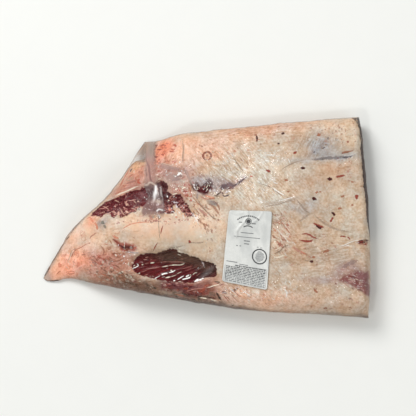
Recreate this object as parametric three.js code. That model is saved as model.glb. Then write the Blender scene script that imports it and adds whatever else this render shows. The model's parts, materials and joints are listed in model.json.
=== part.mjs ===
// A whole raw beef brisket, vacuum-sealed in a clear bag with a paper label stuck on top.
// Millimetres, +Z up. The pack lies flat: the origin is on the floor under the middle of the pack, X runs from
// the pointed end (-X) to the square end (+X) and Y across the pack. The bag and the meat that fills it are one
// solid, whose skin is the bag. Its top is a four-sided patch between four edge curves, raised by the meat's
// humps, lowered by its seams and by the places where the fat is trimmed down to the lean, and rounded off
// towards each edge. The flat underside is what it rests on.
import * as THREE from "three";

// Driving dimensions.
const LENGTH = 464;
const WIDTH = 282;
const BASE_HEIGHT = 47; // of the thin, square end
const RIM_SHARE = 0.4; // height of the rim, the widest line, as a share of the thickness there
const ALONG = 82; // cells of the top patch along the pack
const ACROSS = 50; // and across it
const ROUNDED_CELLS = 4; // how many of them turn the edge
const LABEL = { long: 15, wide: 9, paper: 0.5, gap: 0.5 }; // cells each way, thickness and clearance

// The pack's edge seen from above, as four curves between its corners.
const X_MAX = 230; // the square end; the pointed corner lies a LENGTH from it
const Y_MAX = WIDTH / 2;
const POINTED_CORNER = [X_MAX - LENGTH, -86];
const EAR_CORNER = [-91, 109];
const FAR_CORNER = [X_MAX - 16, Y_MAX];
const NEAR_CORNER = [X_MAX - 3, -Y_MAX];
const EDGES = {
  near: {
    rounding: 24,
    points: [POINTED_CORNER, [-228, -90.5], [-214, -90.2], [-204, -87.3], [-194, -86.8], [-181, -89], [-150, -96],
      [-93, -107], [-36, -117], [48, -130], [104, -134], [159, -136.5], NEAR_CORNER],
  },
  far: {
    rounding: 17,
    points: [EAR_CORNER, [-68, 111], [-44, 116], [-10, 120.5], [35, 125.5], [103, 132.5], [159, 137], FAR_CORNER],
  },
  pointed: {
    rounding: 30,
    points: [POINTED_CORNER, [-225, -68], [-217, -55], [-206, -38], [-194, -20.5], [-173.5, -0.5], [-155.5, 14.5],
      [-139.5, 29.5], [-124.5, 50], [-112, 69.5], [-102.5, 91], EAR_CORNER],
  },
  square: {
    rounding: 11,
    points: [NEAR_CORNER, [X_MAX, -82], [X_MAX - 2, 0], [X_MAX - 4.5, 41], [X_MAX - 9, 86], [X_MAX - 11, 116],
      FAR_CORNER],
  },
};

// Broad humps of the muscles: centre, radii, turn in degrees and rise.
const MOUNDS = [
  { name: "point muscle", at: [-50, -8], radii: [118, 84], turn: 8, rise: 27 },
  { name: "shoulder", at: [-32, 82], radii: [62, 40], turn: 10, rise: 9 },
  { name: "flat muscle", at: [128, 18], radii: [112, 66], turn: -6, rise: 7 },
  { name: "near bulge", at: [92, -92], radii: [74, 34], turn: -4, rise: 5 },
  { name: "fat band", at: [-62, -24], radii: [86, 17], turn: -9, rise: 3.2 },
  { name: "far pad", at: [178, 112], radii: [46, 20], turn: 0, rise: 2.6 },
];

// Where the fat is cut away to the lean: the outline of each cut and how deep its floor lies.
const CUTS = [
  {
    name: "marbled cut",
    outline: [[-162, -2], [-138, 18], [-114, 27], [-85, 37], [-61, 44], [-49, 38], [-46, 29], [-29, 23],
      [-8, -3], [-18, -5], [-30, 8], [-54, 2], [-82, 12], [-102, 0], [-118, -5]],
    depth: 4,
  },
  {
    name: "fluted cut",
    outline: [[-99, -63], [-80, -55], [-53, -51], [-40, -48], [-25, -55], [2, -64], [12, -67], [16, -82],
      [4, -87], [-14, -94], [-42, -93], [-68, -89], [-92, -83], [-102, -72]],
    depth: 5,
  },
  {
    name: "seam pocket",
    outline: [[-18, 43], [-3, 39], [8, 47], [14, 38], [28, 27], [1, 28], [-16, 33]],
    depth: 3.4,
  },
];
const CUT_SIDE = 9; // width of the slope from the fat down to a cut's floor

// Seams between muscles and dents of the fat: a path, its half width and its depth.
const FURROWS = [
  { name: "far seam", half: 7, depth: 4.2, path: [[123, 72], [136, 76], [149, 77], [178, 79], [213, 85]] },
  { name: "flat seam", half: 8, depth: 2.4, path: [[96, 18], [122, 4], [150, -12], [190, -28]] },
  { name: "near dent", half: 10, depth: 2.6, path: [[112, -72], [150, -66], [196, -66]] },
  { name: "tip seam", half: 6, depth: 2.2, path: [[-146, -26], [-168, -38], [-190, -54], [-200, -70]] },
  { name: "pocket seam", half: 8, depth: 2.2, path: [[40, 48], [62, 72], [50, 98]] },
  { name: "red pit", half: 8, depth: 2, path: [[-124, -40], [-112, -36]] },
];

// How the thickness falls off to the bag's two empty corners: corner, reach and what is left there.
const THIN_CORNERS = [
  { at: POINTED_CORNER, reach: 135, left: 0.11 },
  { at: EAR_CORNER, reach: 62, left: 0.12 },
];

// Gentle unevenness of fat: waves of these lengths, headings and phases in degrees, and heights.
const RIPPLES = [
  { wave: 74, heading: 20, phase: 65, rise: 0.9 },
  { wave: 52, heading: 105, phase: 256, rise: 0.7 },
  { wave: 39, heading: 63, phase: 10, rise: 0.45 },
];

// The label's corners, in order round its edge from the near one at the pointed side, and its corner radius.
const LABEL_CORNERS = [[25, -92], [87, -104], [94, 4], [35, 5.5]];
const LABEL_ROUNDING = 3;

const PATH_STEPS = 120; // straight pieces that stand for an edge curve where a distance to it is measured
const CURVES = {};
const EDGE_PATHS = {};
for (const [name, edge] of Object.entries(EDGES)) {
  CURVES[name] = new THREE.SplineCurve(edge.points.map(([x, y]) => new THREE.Vector2(x, y)));
  EDGE_PATHS[name] = CURVES[name].getSpacedPoints(PATH_STEPS).map((point) => point.toArray());
}

const mix = (a, b, share) => a + (b - a) * share;
const smooth = (share) => share * share * (3 - 2 * share);
const clamped = (value) => Math.min(1, Math.max(0, value));
const radians = THREE.MathUtils.degToRad;

function distanceToPath(x, y, path) {
  let nearest = Infinity;
  for (let i = 0; i + 1 < path.length; i++) {
    const [ax, ay] = path[i];
    const [bx, by] = path[i + 1];
    const along = clamped(((x - ax) * (bx - ax) + (y - ay) * (by - ay)) / ((bx - ax) ** 2 + (by - ay) ** 2));
    nearest = Math.min(nearest, Math.hypot(x - mix(ax, bx, along), y - mix(ay, by, along)));
  }
  return nearest;
}

function ovalRise(x, y, { at, radii, turn, rise }) {
  const angle = radians(turn);
  const u = ((x - at[0]) * Math.cos(angle) + (y - at[1]) * Math.sin(angle)) / radii[0];
  const v = ((y - at[1]) * Math.cos(angle) - (x - at[0]) * Math.sin(angle)) / radii[1];
  return rise * Math.exp(-(u * u + v * v));
}

function isInside(x, y, outline) {
  const crossings = outline.filter(([ax, ay], i) => {
    const [bx, by] = outline[(i + 1) % outline.length];
    return ay > y !== by > y && x < ax + ((y - ay) * (bx - ax)) / (by - ay);
  });
  return crossings.length % 2 === 1;
}

// A cut has a level floor and a short slope round it, where the knife has taken the fat off.
function cutRise(x, y, { outline, depth }) {
  const distance = distanceToPath(x, y, [...outline, outline[0]]);
  const inward = isInside(x, y, outline) ? distance : -distance;
  return -depth * smooth(clamped(inward / CUT_SIDE + 0.5));
}

function furrowRise(x, y, { path, half, depth }) {
  const away = distanceToPath(x, y, path) / half;
  return -depth * Math.exp(-away * away);
}

function rippleRise(x, y, { wave, heading, phase, rise }) {
  const angle = radians(heading);
  return rise * Math.sin(radians(phase) + (2 * Math.PI * (x * Math.cos(angle) + y * Math.sin(angle))) / wave);
}

const total = (features, rise, x, y) => features.reduce((sum, feature) => sum + rise(x, y, feature), 0);

// The thickness of the pack at a place without its relief, before its edges are rounded off.
function bodyHeight(x, y) {
  let height = BASE_HEIGHT + total(MOUNDS, ovalRise, x, y);
  for (const { at, reach, left } of THIN_CORNERS) {
    const away = clamped(Math.hypot(x - at[0], y - at[1]) / reach);
    height *= mix(left, 1, smooth(away));
  }
  return height;
}

const relief = (x, y) =>
  total(CUTS, cutRise, x, y) + total(FURROWS, furrowRise, x, y) + total(RIPPLES, rippleRise, x, y);

// From 0 at the rim to 1 where the surface has turned level, along a quarter of an oval.
function turned(distance, rounding) {
  const rest = 1 - clamped(distance / rounding);
  return Math.sqrt(1 - rest * rest);
}

const rimHeight = (x, y) => RIM_SHARE * bodyHeight(x, y);

// From 0 at the rim to 1 where the skin has turned level, over all four edges.
function levelShare(x, y) {
  let share = 1;
  for (const [name, edge] of Object.entries(EDGES))
    share *= turned(distanceToPath(x, y, EDGE_PATHS[name]), edge.rounding);
  return share;
}

// The height of the pack's top, which comes down to the rim at every edge.
const topHeight = (x, y) => mix(rimHeight(x, y), bodyHeight(x, y) + relief(x, y), levelShare(x, y));

// The underside turns from the rim down to the flat face that the pack rests on.
const undersideHeight = (x, y) => rimHeight(x, y) * (1 - levelShare(x, y));

// The place on the patch with shares s along the pack and t across it, seen from above.
function place(s, t) {
  const near = CURVES.near.getPointAt(s);
  const far = CURVES.far.getPointAt(s);
  const pointed = CURVES.pointed.getPointAt(t);
  const square = CURVES.square.getPointAt(t);
  const corner = (axis) => {
    const [a, b, c, d] = [POINTED_CORNER, NEAR_CORNER, EAR_CORNER, FAR_CORNER].map((point) => point[axis]);
    return mix(mix(a, b, s), mix(c, d, s), t);
  };
  return [
    mix(near.x, far.x, t) + mix(pointed.x, square.x, s) - corner(0),
    mix(near.y, far.y, t) + mix(pointed.y, square.y, s) - corner(1),
  ];
}

// Shares of the lines between two opposite edges: the first and last few follow the rounded edges, the rest are
// even. The span is the mean length of the other two edges.
function lines(cells, [from, to], sides) {
  const span = (CURVES[sides[0]].getLength() + CURVES[sides[1]].getLength()) / 2;
  const turn = (step, edge) => {
    const inset = 1 - Math.cos(radians((90 * step) / ROUNDED_CELLS));
    return (EDGES[edge].rounding * inset) / span;
  };
  const [first, last] = [turn(ROUNDED_CELLS, from), 1 - turn(ROUNDED_CELLS, to)];
  return Array.from({ length: cells + 1 }, (_, i) => {
    if (i < ROUNDED_CELLS) return turn(i, from);
    if (i > cells - ROUNDED_CELLS) return 1 - turn(cells - i, to);
    return mix(first, last, (i - ROUNDED_CELLS) / (cells - 2 * ROUNDED_CELLS));
  });
}

const S_LINES = lines(ALONG, ["pointed", "square"], ["near", "far"]);
const T_LINES = lines(ACROSS, ["near", "far"], ["pointed", "square"]);

// Two triangles for each cell of a grid whose vertex numbers are at(i, j). They face the side from which j runs
// to the left of i.
function pushCells(faces, at, columns, rows, keep = () => true) {
  for (let i = 0; i < columns; i++)
    for (let j = 0; j < rows; j++) {
      if (!keep(i, j)) continue;
      faces.push(at(i, j), at(i + 1, j), at(i + 1, j + 1), at(i, j), at(i + 1, j + 1), at(i, j + 1));
    }
}

function geometryOf(points, faces) {
  const geometry = new THREE.BufferGeometry();
  geometry.setAttribute("position", new THREE.Float32BufferAttribute(points.flat(), 3));
  geometry.setIndex(faces);
  geometry.computeVertexNormals();
  return geometry;
}

function packGeometry() {
  const points = [];
  const faces = [];
  const columns = ALONG + 1;
  const top = (i, j) => j * columns + i;
  for (const t of T_LINES)
    for (const s of S_LINES) {
      const [x, y] = place(s, t);
      points.push([x, y, topHeight(x, y)]);
    }
  pushCells(faces, top, ALONG, ACROSS);

  // The underside shares the rim with the top, and its first few lines lie straight below the top's.
  const depth = (i, j) => Math.min(i, j, ALONG - i, ACROSS - j);
  const under = new Map();
  const below = (i, j) => (depth(i, j) === 0 ? top(i, j) : under.get(top(i, j)));
  for (let j = 0; j <= ACROSS; j++)
    for (let i = 0; i <= ALONG; i++) {
      if (depth(i, j) < 1 || depth(i, j) > ROUNDED_CELLS) continue;
      const [x, y] = points[top(i, j)];
      under.set(top(i, j), points.length);
      points.push([x, y, depth(i, j) === ROUNDED_CELLS ? 0 : undersideHeight(x, y)]);
    }
  const rounded = (i, j) => Math.min(depth(i, j), depth(i + 1, j + 1)) < ROUNDED_CELLS;
  pushCells(faces, (i, j) => below(j, i), ACROSS, ALONG, (j, i) => rounded(i, j));

  const flat = [];
  for (let i = ROUNDED_CELLS; i < ALONG - ROUNDED_CELLS; i++) flat.push([i, ROUNDED_CELLS]);
  for (let j = ROUNDED_CELLS; j < ACROSS - ROUNDED_CELLS; j++) flat.push([ALONG - ROUNDED_CELLS, j]);
  for (let i = ALONG - ROUNDED_CELLS; i > ROUNDED_CELLS; i--) flat.push([i, ACROSS - ROUNDED_CELLS]);
  for (let j = ACROSS - ROUNDED_CELLS; j > ROUNDED_CELLS; j--) flat.push([ROUNDED_CELLS, j]);
  const outline = flat.map(([i, j]) => new THREE.Vector2(points[top(i, j)][0], points[top(i, j)][1]));
  for (const [a, b, c] of THREE.ShapeUtils.triangulateShape(outline, []))
    faces.push(below(...flat[a]), below(...flat[c]), below(...flat[b]));
  return geometryOf(points, faces);
}

function labelGeometry() {
  const [a, b, c, d] = LABEL_CORNERS;
  const seats = [];
  for (let j = 0; j <= LABEL.long; j++)
    for (let i = 0; i <= LABEL.wide; i++) {
      const [s, t] = [i / LABEL.wide, j / LABEL.long];
      const at = [0, 1].map((axis) => mix(mix(a[axis], b[axis], s), mix(d[axis], c[axis], s), t));
      const isCorner = (i === 0 || i === LABEL.wide) && (j === 0 || j === LABEL.long);
      const inward = isCorner ? LABEL_ROUNDING * (1 - Math.SQRT1_2) : 0;
      const x = at[0] + inward * (i === 0 ? 1 : -1);
      const y = at[1] + inward * (j === 0 ? 1 : -1);
      seats.push([x, y, topHeight(x, y) + LABEL.gap]);
    }
  const count = seats.length;
  const points = [...seats.map(([x, y, z]) => [x, y, z + LABEL.paper]), ...seats];
  const faces = [];
  const top = (i, j) => j * (LABEL.wide + 1) + i;
  pushCells(faces, top, LABEL.wide, LABEL.long);
  pushCells(faces, (j, i) => count + top(i, j), LABEL.long, LABEL.wide);
  const rim = [];
  for (let i = 0; i < LABEL.wide; i++) rim.push(top(i, 0));
  for (let j = 0; j < LABEL.long; j++) rim.push(top(LABEL.wide, j));
  for (let i = LABEL.wide; i > 0; i--) rim.push(top(i, LABEL.long));
  for (let j = LABEL.long; j > 0; j--) rim.push(top(0, j));
  rim.forEach((at, k) => {
    const next = rim[(k + 1) % rim.length];
    faces.push(at, count + at, count + next, at, count + next, next);
  });
  return geometryOf(points, faces);
}

const pack = packGeometry();
pack.computeBoundingBox();
const middle = pack.boundingBox.getCenter(new THREE.Vector3());

const sealedBrisket = new THREE.Mesh(
  pack,
  new THREE.MeshStandardMaterial({ color: 0xcfae90, roughness: 0.3, metalness: 0 }),
);
sealedBrisket.name = "sealed_brisket";

const label = new THREE.Mesh(
  labelGeometry(),
  new THREE.MeshStandardMaterial({ color: 0xe4e6e4, roughness: 0.55, metalness: 0 }),
);
label.name = "label";

const brisket = new THREE.Group();
brisket.add(sealedBrisket, label);
brisket.position.set(-middle.x, -middle.y, 0);

export default brisket;
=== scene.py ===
"""The looks of a whole raw beef brisket in a clear vacuum bag with a paper label.

The beef, the bag's film, the folded film on it, the label and its plain marks are built here as meshes round the
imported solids. Lengths are in millimetres and turn into metres where a mesh is made. The pack lies on the floor,
its pointed end at -X and its square end at +X.
"""

import math

import bpy
import numpy as np
from mathutils import Matrix, Vector
from mathutils.bvhtree import BVHTree
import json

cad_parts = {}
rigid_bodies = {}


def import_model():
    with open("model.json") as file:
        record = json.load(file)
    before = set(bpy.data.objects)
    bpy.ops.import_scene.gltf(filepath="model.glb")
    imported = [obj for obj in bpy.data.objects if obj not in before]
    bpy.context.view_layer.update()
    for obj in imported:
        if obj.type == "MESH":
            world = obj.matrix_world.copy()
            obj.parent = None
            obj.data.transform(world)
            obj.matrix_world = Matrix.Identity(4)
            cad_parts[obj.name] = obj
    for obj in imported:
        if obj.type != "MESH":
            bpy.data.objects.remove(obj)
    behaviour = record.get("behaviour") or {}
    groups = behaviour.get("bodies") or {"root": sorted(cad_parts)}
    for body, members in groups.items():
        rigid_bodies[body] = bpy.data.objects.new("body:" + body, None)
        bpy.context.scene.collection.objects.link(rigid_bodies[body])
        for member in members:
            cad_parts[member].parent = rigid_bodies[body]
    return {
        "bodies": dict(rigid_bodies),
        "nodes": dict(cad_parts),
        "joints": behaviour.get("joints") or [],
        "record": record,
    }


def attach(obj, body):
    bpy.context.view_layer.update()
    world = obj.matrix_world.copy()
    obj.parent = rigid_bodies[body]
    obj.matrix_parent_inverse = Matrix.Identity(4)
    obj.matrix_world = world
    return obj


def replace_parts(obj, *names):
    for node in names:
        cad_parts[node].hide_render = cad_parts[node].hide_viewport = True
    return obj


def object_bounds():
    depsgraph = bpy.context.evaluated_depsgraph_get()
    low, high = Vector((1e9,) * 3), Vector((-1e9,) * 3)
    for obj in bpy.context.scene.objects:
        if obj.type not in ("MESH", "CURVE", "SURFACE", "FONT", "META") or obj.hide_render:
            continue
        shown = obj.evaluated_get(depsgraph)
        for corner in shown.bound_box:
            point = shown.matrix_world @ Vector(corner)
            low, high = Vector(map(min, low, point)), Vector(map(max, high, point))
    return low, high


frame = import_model()
CAD_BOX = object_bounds()
MM = 0.001

# ------------------------------------------------------------------ the pack's form, as the solid has it

LENGTH = round((CAD_BOX[1].x - CAD_BOX[0].x) / MM)
X_MAX, Y_MAX = 230, 141
MIDDLE = (X_MAX - LENGTH / 2, 0, 0)  # of the pack's box, where the frame has its origin
BASE_HEIGHT = 47
RIM_SHARE = 0.4
POINTED_CORNER = (X_MAX - LENGTH, -86)
EAR_CORNER = (-91, 109)
FAR_CORNER = (X_MAX - 16, Y_MAX)
NEAR_CORNER = (X_MAX - 3, -Y_MAX)
EDGES = {
    "near": [POINTED_CORNER, (-228, -90.5), (-214, -90.2), (-204, -87.3), (-194, -86.8), (-181, -89), (-150, -96),
             (-93, -107), (-36, -117), (48, -130), (104, -134), (159, -136.5), NEAR_CORNER],
    "far": [EAR_CORNER, (-68, 111), (-44, 116), (-10, 120.5), (35, 125.5), (103, 132.5), (159, 137), FAR_CORNER],
    "pointed": [POINTED_CORNER, (-225, -68), (-217, -55), (-206, -38), (-194, -20.5), (-173.5, -0.5), (-155.5, 14.5),
                (-139.5, 29.5), (-124.5, 50), (-112, 69.5), (-102.5, 91), EAR_CORNER],
    "square": [NEAR_CORNER, (X_MAX, -82), (X_MAX - 2, 0), (X_MAX - 4.5, 41), (X_MAX - 9, 86), (X_MAX - 11, 116),
               FAR_CORNER],
}
ROUNDING = {"near": 24, "far": 17, "pointed": 30, "square": 11}

# Humps: centre, radii, turn in degrees, rise.
MOUNDS = [
    ((-50, -8), (118, 84), 8, 27),
    ((-32, 82), (62, 40), 10, 9),
    ((128, 18), (112, 66), -6, 7),
    ((92, -92), (74, 34), -4, 5),
    ((-62, -24), (86, 17), -9, 3.2),
    ((178, 112), (46, 20), 0, 2.6),
]
# Cuts down to the lean: outline and depth.
CUTS = [
    ([(-162, -2), (-138, 18), (-114, 27), (-85, 37), (-61, 44), (-49, 38), (-46, 29), (-29, 23), (-8, -3),
      (-18, -5), (-30, 8), (-54, 2), (-82, 12), (-102, 0), (-118, -5)], 4),
    ([(-99, -63), (-80, -55), (-53, -51), (-40, -48), (-25, -55), (2, -64), (12, -67), (16, -82), (4, -87),
      (-14, -94), (-42, -93), (-68, -89), (-92, -83), (-102, -72)], 5),
    ([(-18, 43), (-3, 39), (8, 47), (14, 38), (28, 27), (1, 28), (-16, 33)], 3.4),
]
CUT_SIDE = 9
# Seams and dents: path, half width, depth.
FURROWS = [
    ([(123, 72), (136, 76), (149, 77), (178, 79), (213, 85)], 7, 4.2),
    ([(96, 18), (122, 4), (150, -12), (190, -28)], 8, 2.4),
    ([(112, -72), (150, -66), (196, -66)], 10, 2.6),
    ([(-146, -26), (-168, -38), (-190, -54), (-200, -70)], 6, 2.2),
    ([(40, 48), (62, 72), (50, 98)], 8, 2.2),
    ([(-124, -40), (-112, -36)], 8, 2),
]
# Empty corners of the bag: corner, reach, share of the thickness left there.
THIN_CORNERS = [(POINTED_CORNER, 135, 0.11), (EAR_CORNER, 62, 0.12)]
# Gentle waves: wavelength, heading and phase in degrees, rise.
RIPPLES = [(74, 20, 65, 0.9), (52, 105, 256, 0.7), (39, 63, 10, 0.45)]


def table_rows(table):
    """The rows of a table, split at its blanks. An indented line goes on with the row above it."""
    return [row.split() for row in table.replace("\n ", " ").strip().splitlines()]


def numbers(text):
    return tuple(map(float, text.split(",")))


def path_of(texts):
    return [numbers(text) for text in texts]


def crease_rows(table):
    """Rows of half width, rise and path, as path, half width and rise."""
    return [(path_of(path), float(half), float(rise)) for half, rise, *path in table_rows(table)]


def mark_rows(table):
    """Rows of colour, half width or softness, strength, and path."""
    return [(colour, float(half), float(strength), path_of(path))
            for colour, half, strength, *path in table_rows(table)]


def oval_rows(table):
    """Rows of colour, centre, radii, turn and strength."""
    return [(colour, numbers(at), numbers(radii), float(turn), float(strength))
            for colour, at, radii, turn, strength in table_rows(table)]


def fleck_rows(table):
    """Rows of how many, centre, radii, turn, heading, its spread, lengths, half widths, colours, strengths."""
    for count, at, radii, turn, heading, spread, longs, halves, colours, strengths in table_rows(table):
        yield (int(count), numbers(at), numbers(radii), float(turn), float(heading), float(spread), numbers(longs),
               numbers(halves), colours.split(","), numbers(strengths))


def mix(a, b, share):
    return a + (b - a) * share


def smooth(share):
    return share * share * (3 - 2 * share)


def ramp(value, low, high):
    """From 0 where value is low to 1 where it is high, with smooth ends."""
    return smooth(np.clip((value - low) / (high - low), 0, 1))


def spline(points, steps=14):
    """A Catmull-Rom curve through points, as a dense path."""
    p = np.array([points[0], *points, points[-1]], float)
    t = np.linspace(0, 1, steps, endpoint=False)[:, None]
    spans = []
    for before, start, end, after in zip(p, p[1:], p[2:], p[3:]):
        leave, arrive = (end - before) / 2, (after - start) / 2
        spans.append((2 * start - 2 * end + leave + arrive) * t**3
                     + (3 * end - 3 * start - 2 * leave - arrive) * t**2 + leave * t + start)
    return np.vstack([*spans, p[-1:]])


def along_path(path, shares):
    """Points of a path at shares of its length."""
    steps = np.hypot(*np.diff(path, axis=0).T)
    at = np.concatenate([[0], np.cumsum(steps)]) / steps.sum()
    return np.stack([np.interp(shares, at, path[:, axis]) for axis in (0, 1)], -1)


def distance_to_path(x, y, path):
    nearest = np.full(np.shape(x), np.inf)
    for (ax, ay), (bx, by) in zip(path[:-1], path[1:]):
        dx, dy = bx - ax, by - ay
        along = np.clip(((x - ax) * dx + (y - ay) * dy) / max(dx * dx + dy * dy, 1e-9), 0, 1)
        nearest = np.minimum(nearest, np.hypot(x - ax - along * dx, y - ay - along * dy))
    return nearest


def ridge(x, y, path, half):
    """1 on the path, falling off at its sides."""
    return np.exp(-((distance_to_path(x, y, path) / half) ** 2))


def inward(x, y, outline):
    """Distance to a closed outline, positive inside it."""
    inside = np.zeros(np.shape(x), bool)
    for (ax, ay), (bx, by) in zip(outline, [*outline[1:], outline[0]]):
        if ay != by:
            inside ^= ((ay > y) != (by > y)) & (x < ax + (y - ay) * (bx - ax) / (by - ay))
    distance = distance_to_path(x, y, [*outline, outline[0]])
    return np.where(inside, distance, -distance)


def oval(x, y, at, radii, turn):
    """A soft spot: 1 at its centre, falling off with its radii."""
    angle = math.radians(turn)
    u = ((x - at[0]) * math.cos(angle) + (y - at[1]) * math.sin(angle)) / radii[0]
    v = ((y - at[1]) * math.cos(angle) - (x - at[0]) * math.sin(angle)) / radii[1]
    return np.exp(-(u * u + v * v))


def noise(x, y, size, seed):
    """Smooth random lumps of about the given size, from -1 to 1."""
    cells = 160
    values = np.random.default_rng(seed).uniform(-1, 1, (cells, cells))
    u, v = x / size + cells / 2, y / size + cells / 2
    i, j = np.floor(u).astype(int), np.floor(v).astype(int)
    a, b = smooth(u - i), smooth(v - j)

    def at(di, dj):
        return values[(i + di) % cells, (j + dj) % cells]

    return mix(mix(at(0, 0), at(1, 0), a), mix(at(0, 1), at(1, 1), a), b)


CURVES = {name: spline(points) for name, points in EDGES.items()}


def body_height(x, y):
    height = BASE_HEIGHT + sum(rise * oval(x, y, at, radii, turn) for at, radii, turn, rise in MOUNDS)
    for corner, reach, left in THIN_CORNERS:
        height = height * mix(left, 1, ramp(np.hypot(x - corner[0], y - corner[1]), 0, reach))
    return height


def relief(x, y):
    rise = np.zeros(np.shape(x))
    for outline, depth in CUTS:
        rise -= depth * ramp(inward(x, y, outline), -CUT_SIDE / 2, CUT_SIDE / 2)
    for path, half, depth in FURROWS:
        rise -= depth * ridge(x, y, path, half)
    for wave, heading, phase, height in RIPPLES:
        turn = math.radians(heading)
        rise += height * np.sin(math.radians(phase) + 2 * math.pi * (x * math.cos(turn) + y * math.sin(turn)) / wave)
    return rise


def rounded_share(x, y):
    """From 0 at the rim to 1 where the skin has turned level."""
    share = np.ones(np.shape(x))
    for name, curve in CURVES.items():
        rest = 1 - np.clip(distance_to_path(x, y, curve) / ROUNDING[name], 0, 1)
        share *= np.sqrt(1 - rest * rest)
    return share


def top_height(x, y):
    full = body_height(x, y)
    return mix(RIM_SHARE * full, full + relief(x, y), rounded_share(x, y))


def lines(cells, turning, ends, sides):
    """Shares of the grid lines between two opposite edges, closer where they follow the rounded ends."""
    span = sum(np.hypot(*np.diff(CURVES[side], axis=0).T).sum() for side in sides) / 2
    turn = [ROUNDING[end] * (1 - np.cos(np.linspace(0, math.pi / 2, turning + 1))) / span for end in ends]
    even = np.linspace(turn[0][-1], 1 - turn[1][-1], cells - 2 * turning + 1)
    return np.concatenate([turn[0][:-1], even, 1 - turn[1][-2::-1]])


def place(s, t):
    """Where the patch's grid lines cross, seen from above, on axes (s, t)."""
    near, far = (along_path(CURVES[name], s)[:, None] for name in ("near", "far"))
    pointed, square = (along_path(CURVES[name], t)[None] for name in ("pointed", "square"))
    s, t = s[:, None, None], t[None, :, None]
    a, b, c, d = (np.array(p, float) for p in (POINTED_CORNER, NEAR_CORNER, EAR_CORNER, FAR_CORNER))
    corners = mix(mix(a, b, s), mix(c, d, s), t)
    return np.moveaxis(mix(near, far, t) + mix(pointed, square, s) - corners, -1, 0)


def closed_skin(along, across, turning):
    """The pack's skin as points and faces. The top and the turned edges are fine, the flat underside is coarser."""
    x, y = place(lines(along, turning, ("pointed", "square"), ("near", "far")),
                 lines(across, turning, ("near", "far"), ("pointed", "square")))
    i, j = np.indices(x.shape)
    depth = np.minimum.reduce([i, j, along - i, across - j])
    full, share = body_height(x, y), rounded_share(x, y)
    rim = RIM_SHARE * full
    upper = mix(rim, full + relief(x, y), share)
    under = np.where(depth < turning, rim * (1 - share), 0)

    top = np.arange(x.size).reshape(x.shape)
    on_even = ((i - turning) % 2 == 0) & ((j - turning) % 2 == 0)
    kept = (depth > 0) & ((depth <= turning) | on_even)
    low = np.where(depth == 0, top, -1)
    low[kept] = x.size + np.arange(kept.sum())
    points = np.concatenate([np.stack([x, y, upper], -1).reshape(-1, 3),
                             np.stack([x[kept], y[kept], under[kept]], -1)])

    def cells(index):
        corners = [index[:-1, :-1], index[1:, :-1], index[1:, 1:], index[:-1, 1:]]
        return np.stack([corner.ravel() for corner in corners], -1)

    turned = cells(depth).min(1) < turning
    faces = cells(top).tolist() + cells(low)[turned][:, ::-1].tolist()
    ring = [(0, 0), (0, 1), (0, 2), (1, 2), (2, 2), (2, 1), (2, 0), (1, 0)]
    for a in range(turning, along - turning, 2):
        for b in range(turning, across - turning, 2):
            corners = [int(low[a + di, b + dj]) for di, dj in ring]
            faces.append([corner for corner in corners if corner >= 0])
    return points, faces


def made(name, points, faces, material):
    """A smooth mesh object of points in millimetres."""
    mesh = bpy.data.meshes.new(name)
    mesh.from_pydata(((np.asarray(points) - MIDDLE) * MM).tolist(), [], faces)
    mesh.shade_smooth()
    mesh.materials.append(material)
    piece = bpy.data.objects.new(name, mesh)
    bpy.context.scene.collection.objects.link(piece)
    return piece


def thicken(piece, thickness):
    """Gives a sheet its thickness, on the side below it."""
    solid = piece.modifiers.new("thickness", "SOLIDIFY")
    solid.thickness, solid.offset = thickness * MM, -1


def lifted(points, faces, lift):
    """The points moved along the skin's own normals by lift."""
    mesh = bpy.data.meshes.new("skin")
    mesh.from_pydata(points.tolist(), [], faces)
    normals = np.empty(len(points) * 3, np.float32)
    mesh.vertex_normals.foreach_get("vector", normals)
    bpy.data.meshes.remove(mesh)
    return points + normals.reshape(-1, 3) * np.asarray(lift)[:, None]


def add_values(piece, name, values):
    piece.data.attributes.new(name, "FLOAT", "POINT").data.foreach_set("value", values.astype(np.float32))


def add_colours(piece, name, colours):
    colours = np.concatenate([colours, np.ones((len(colours), 1))], 1)
    piece.data.attributes.new(name, "FLOAT_COLOR", "POINT").data.foreach_set("color", colours.ravel())


def linear(name):
    """A colour of the palette, as linear light."""
    c = np.array(PALETTE[name], float) / 255
    return np.where(c < 0.04045, c / 12.92, ((c + 0.055) / 1.055) ** 2.4)


# ------------------------------------------------------------------ what the beef's surface shows

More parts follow.
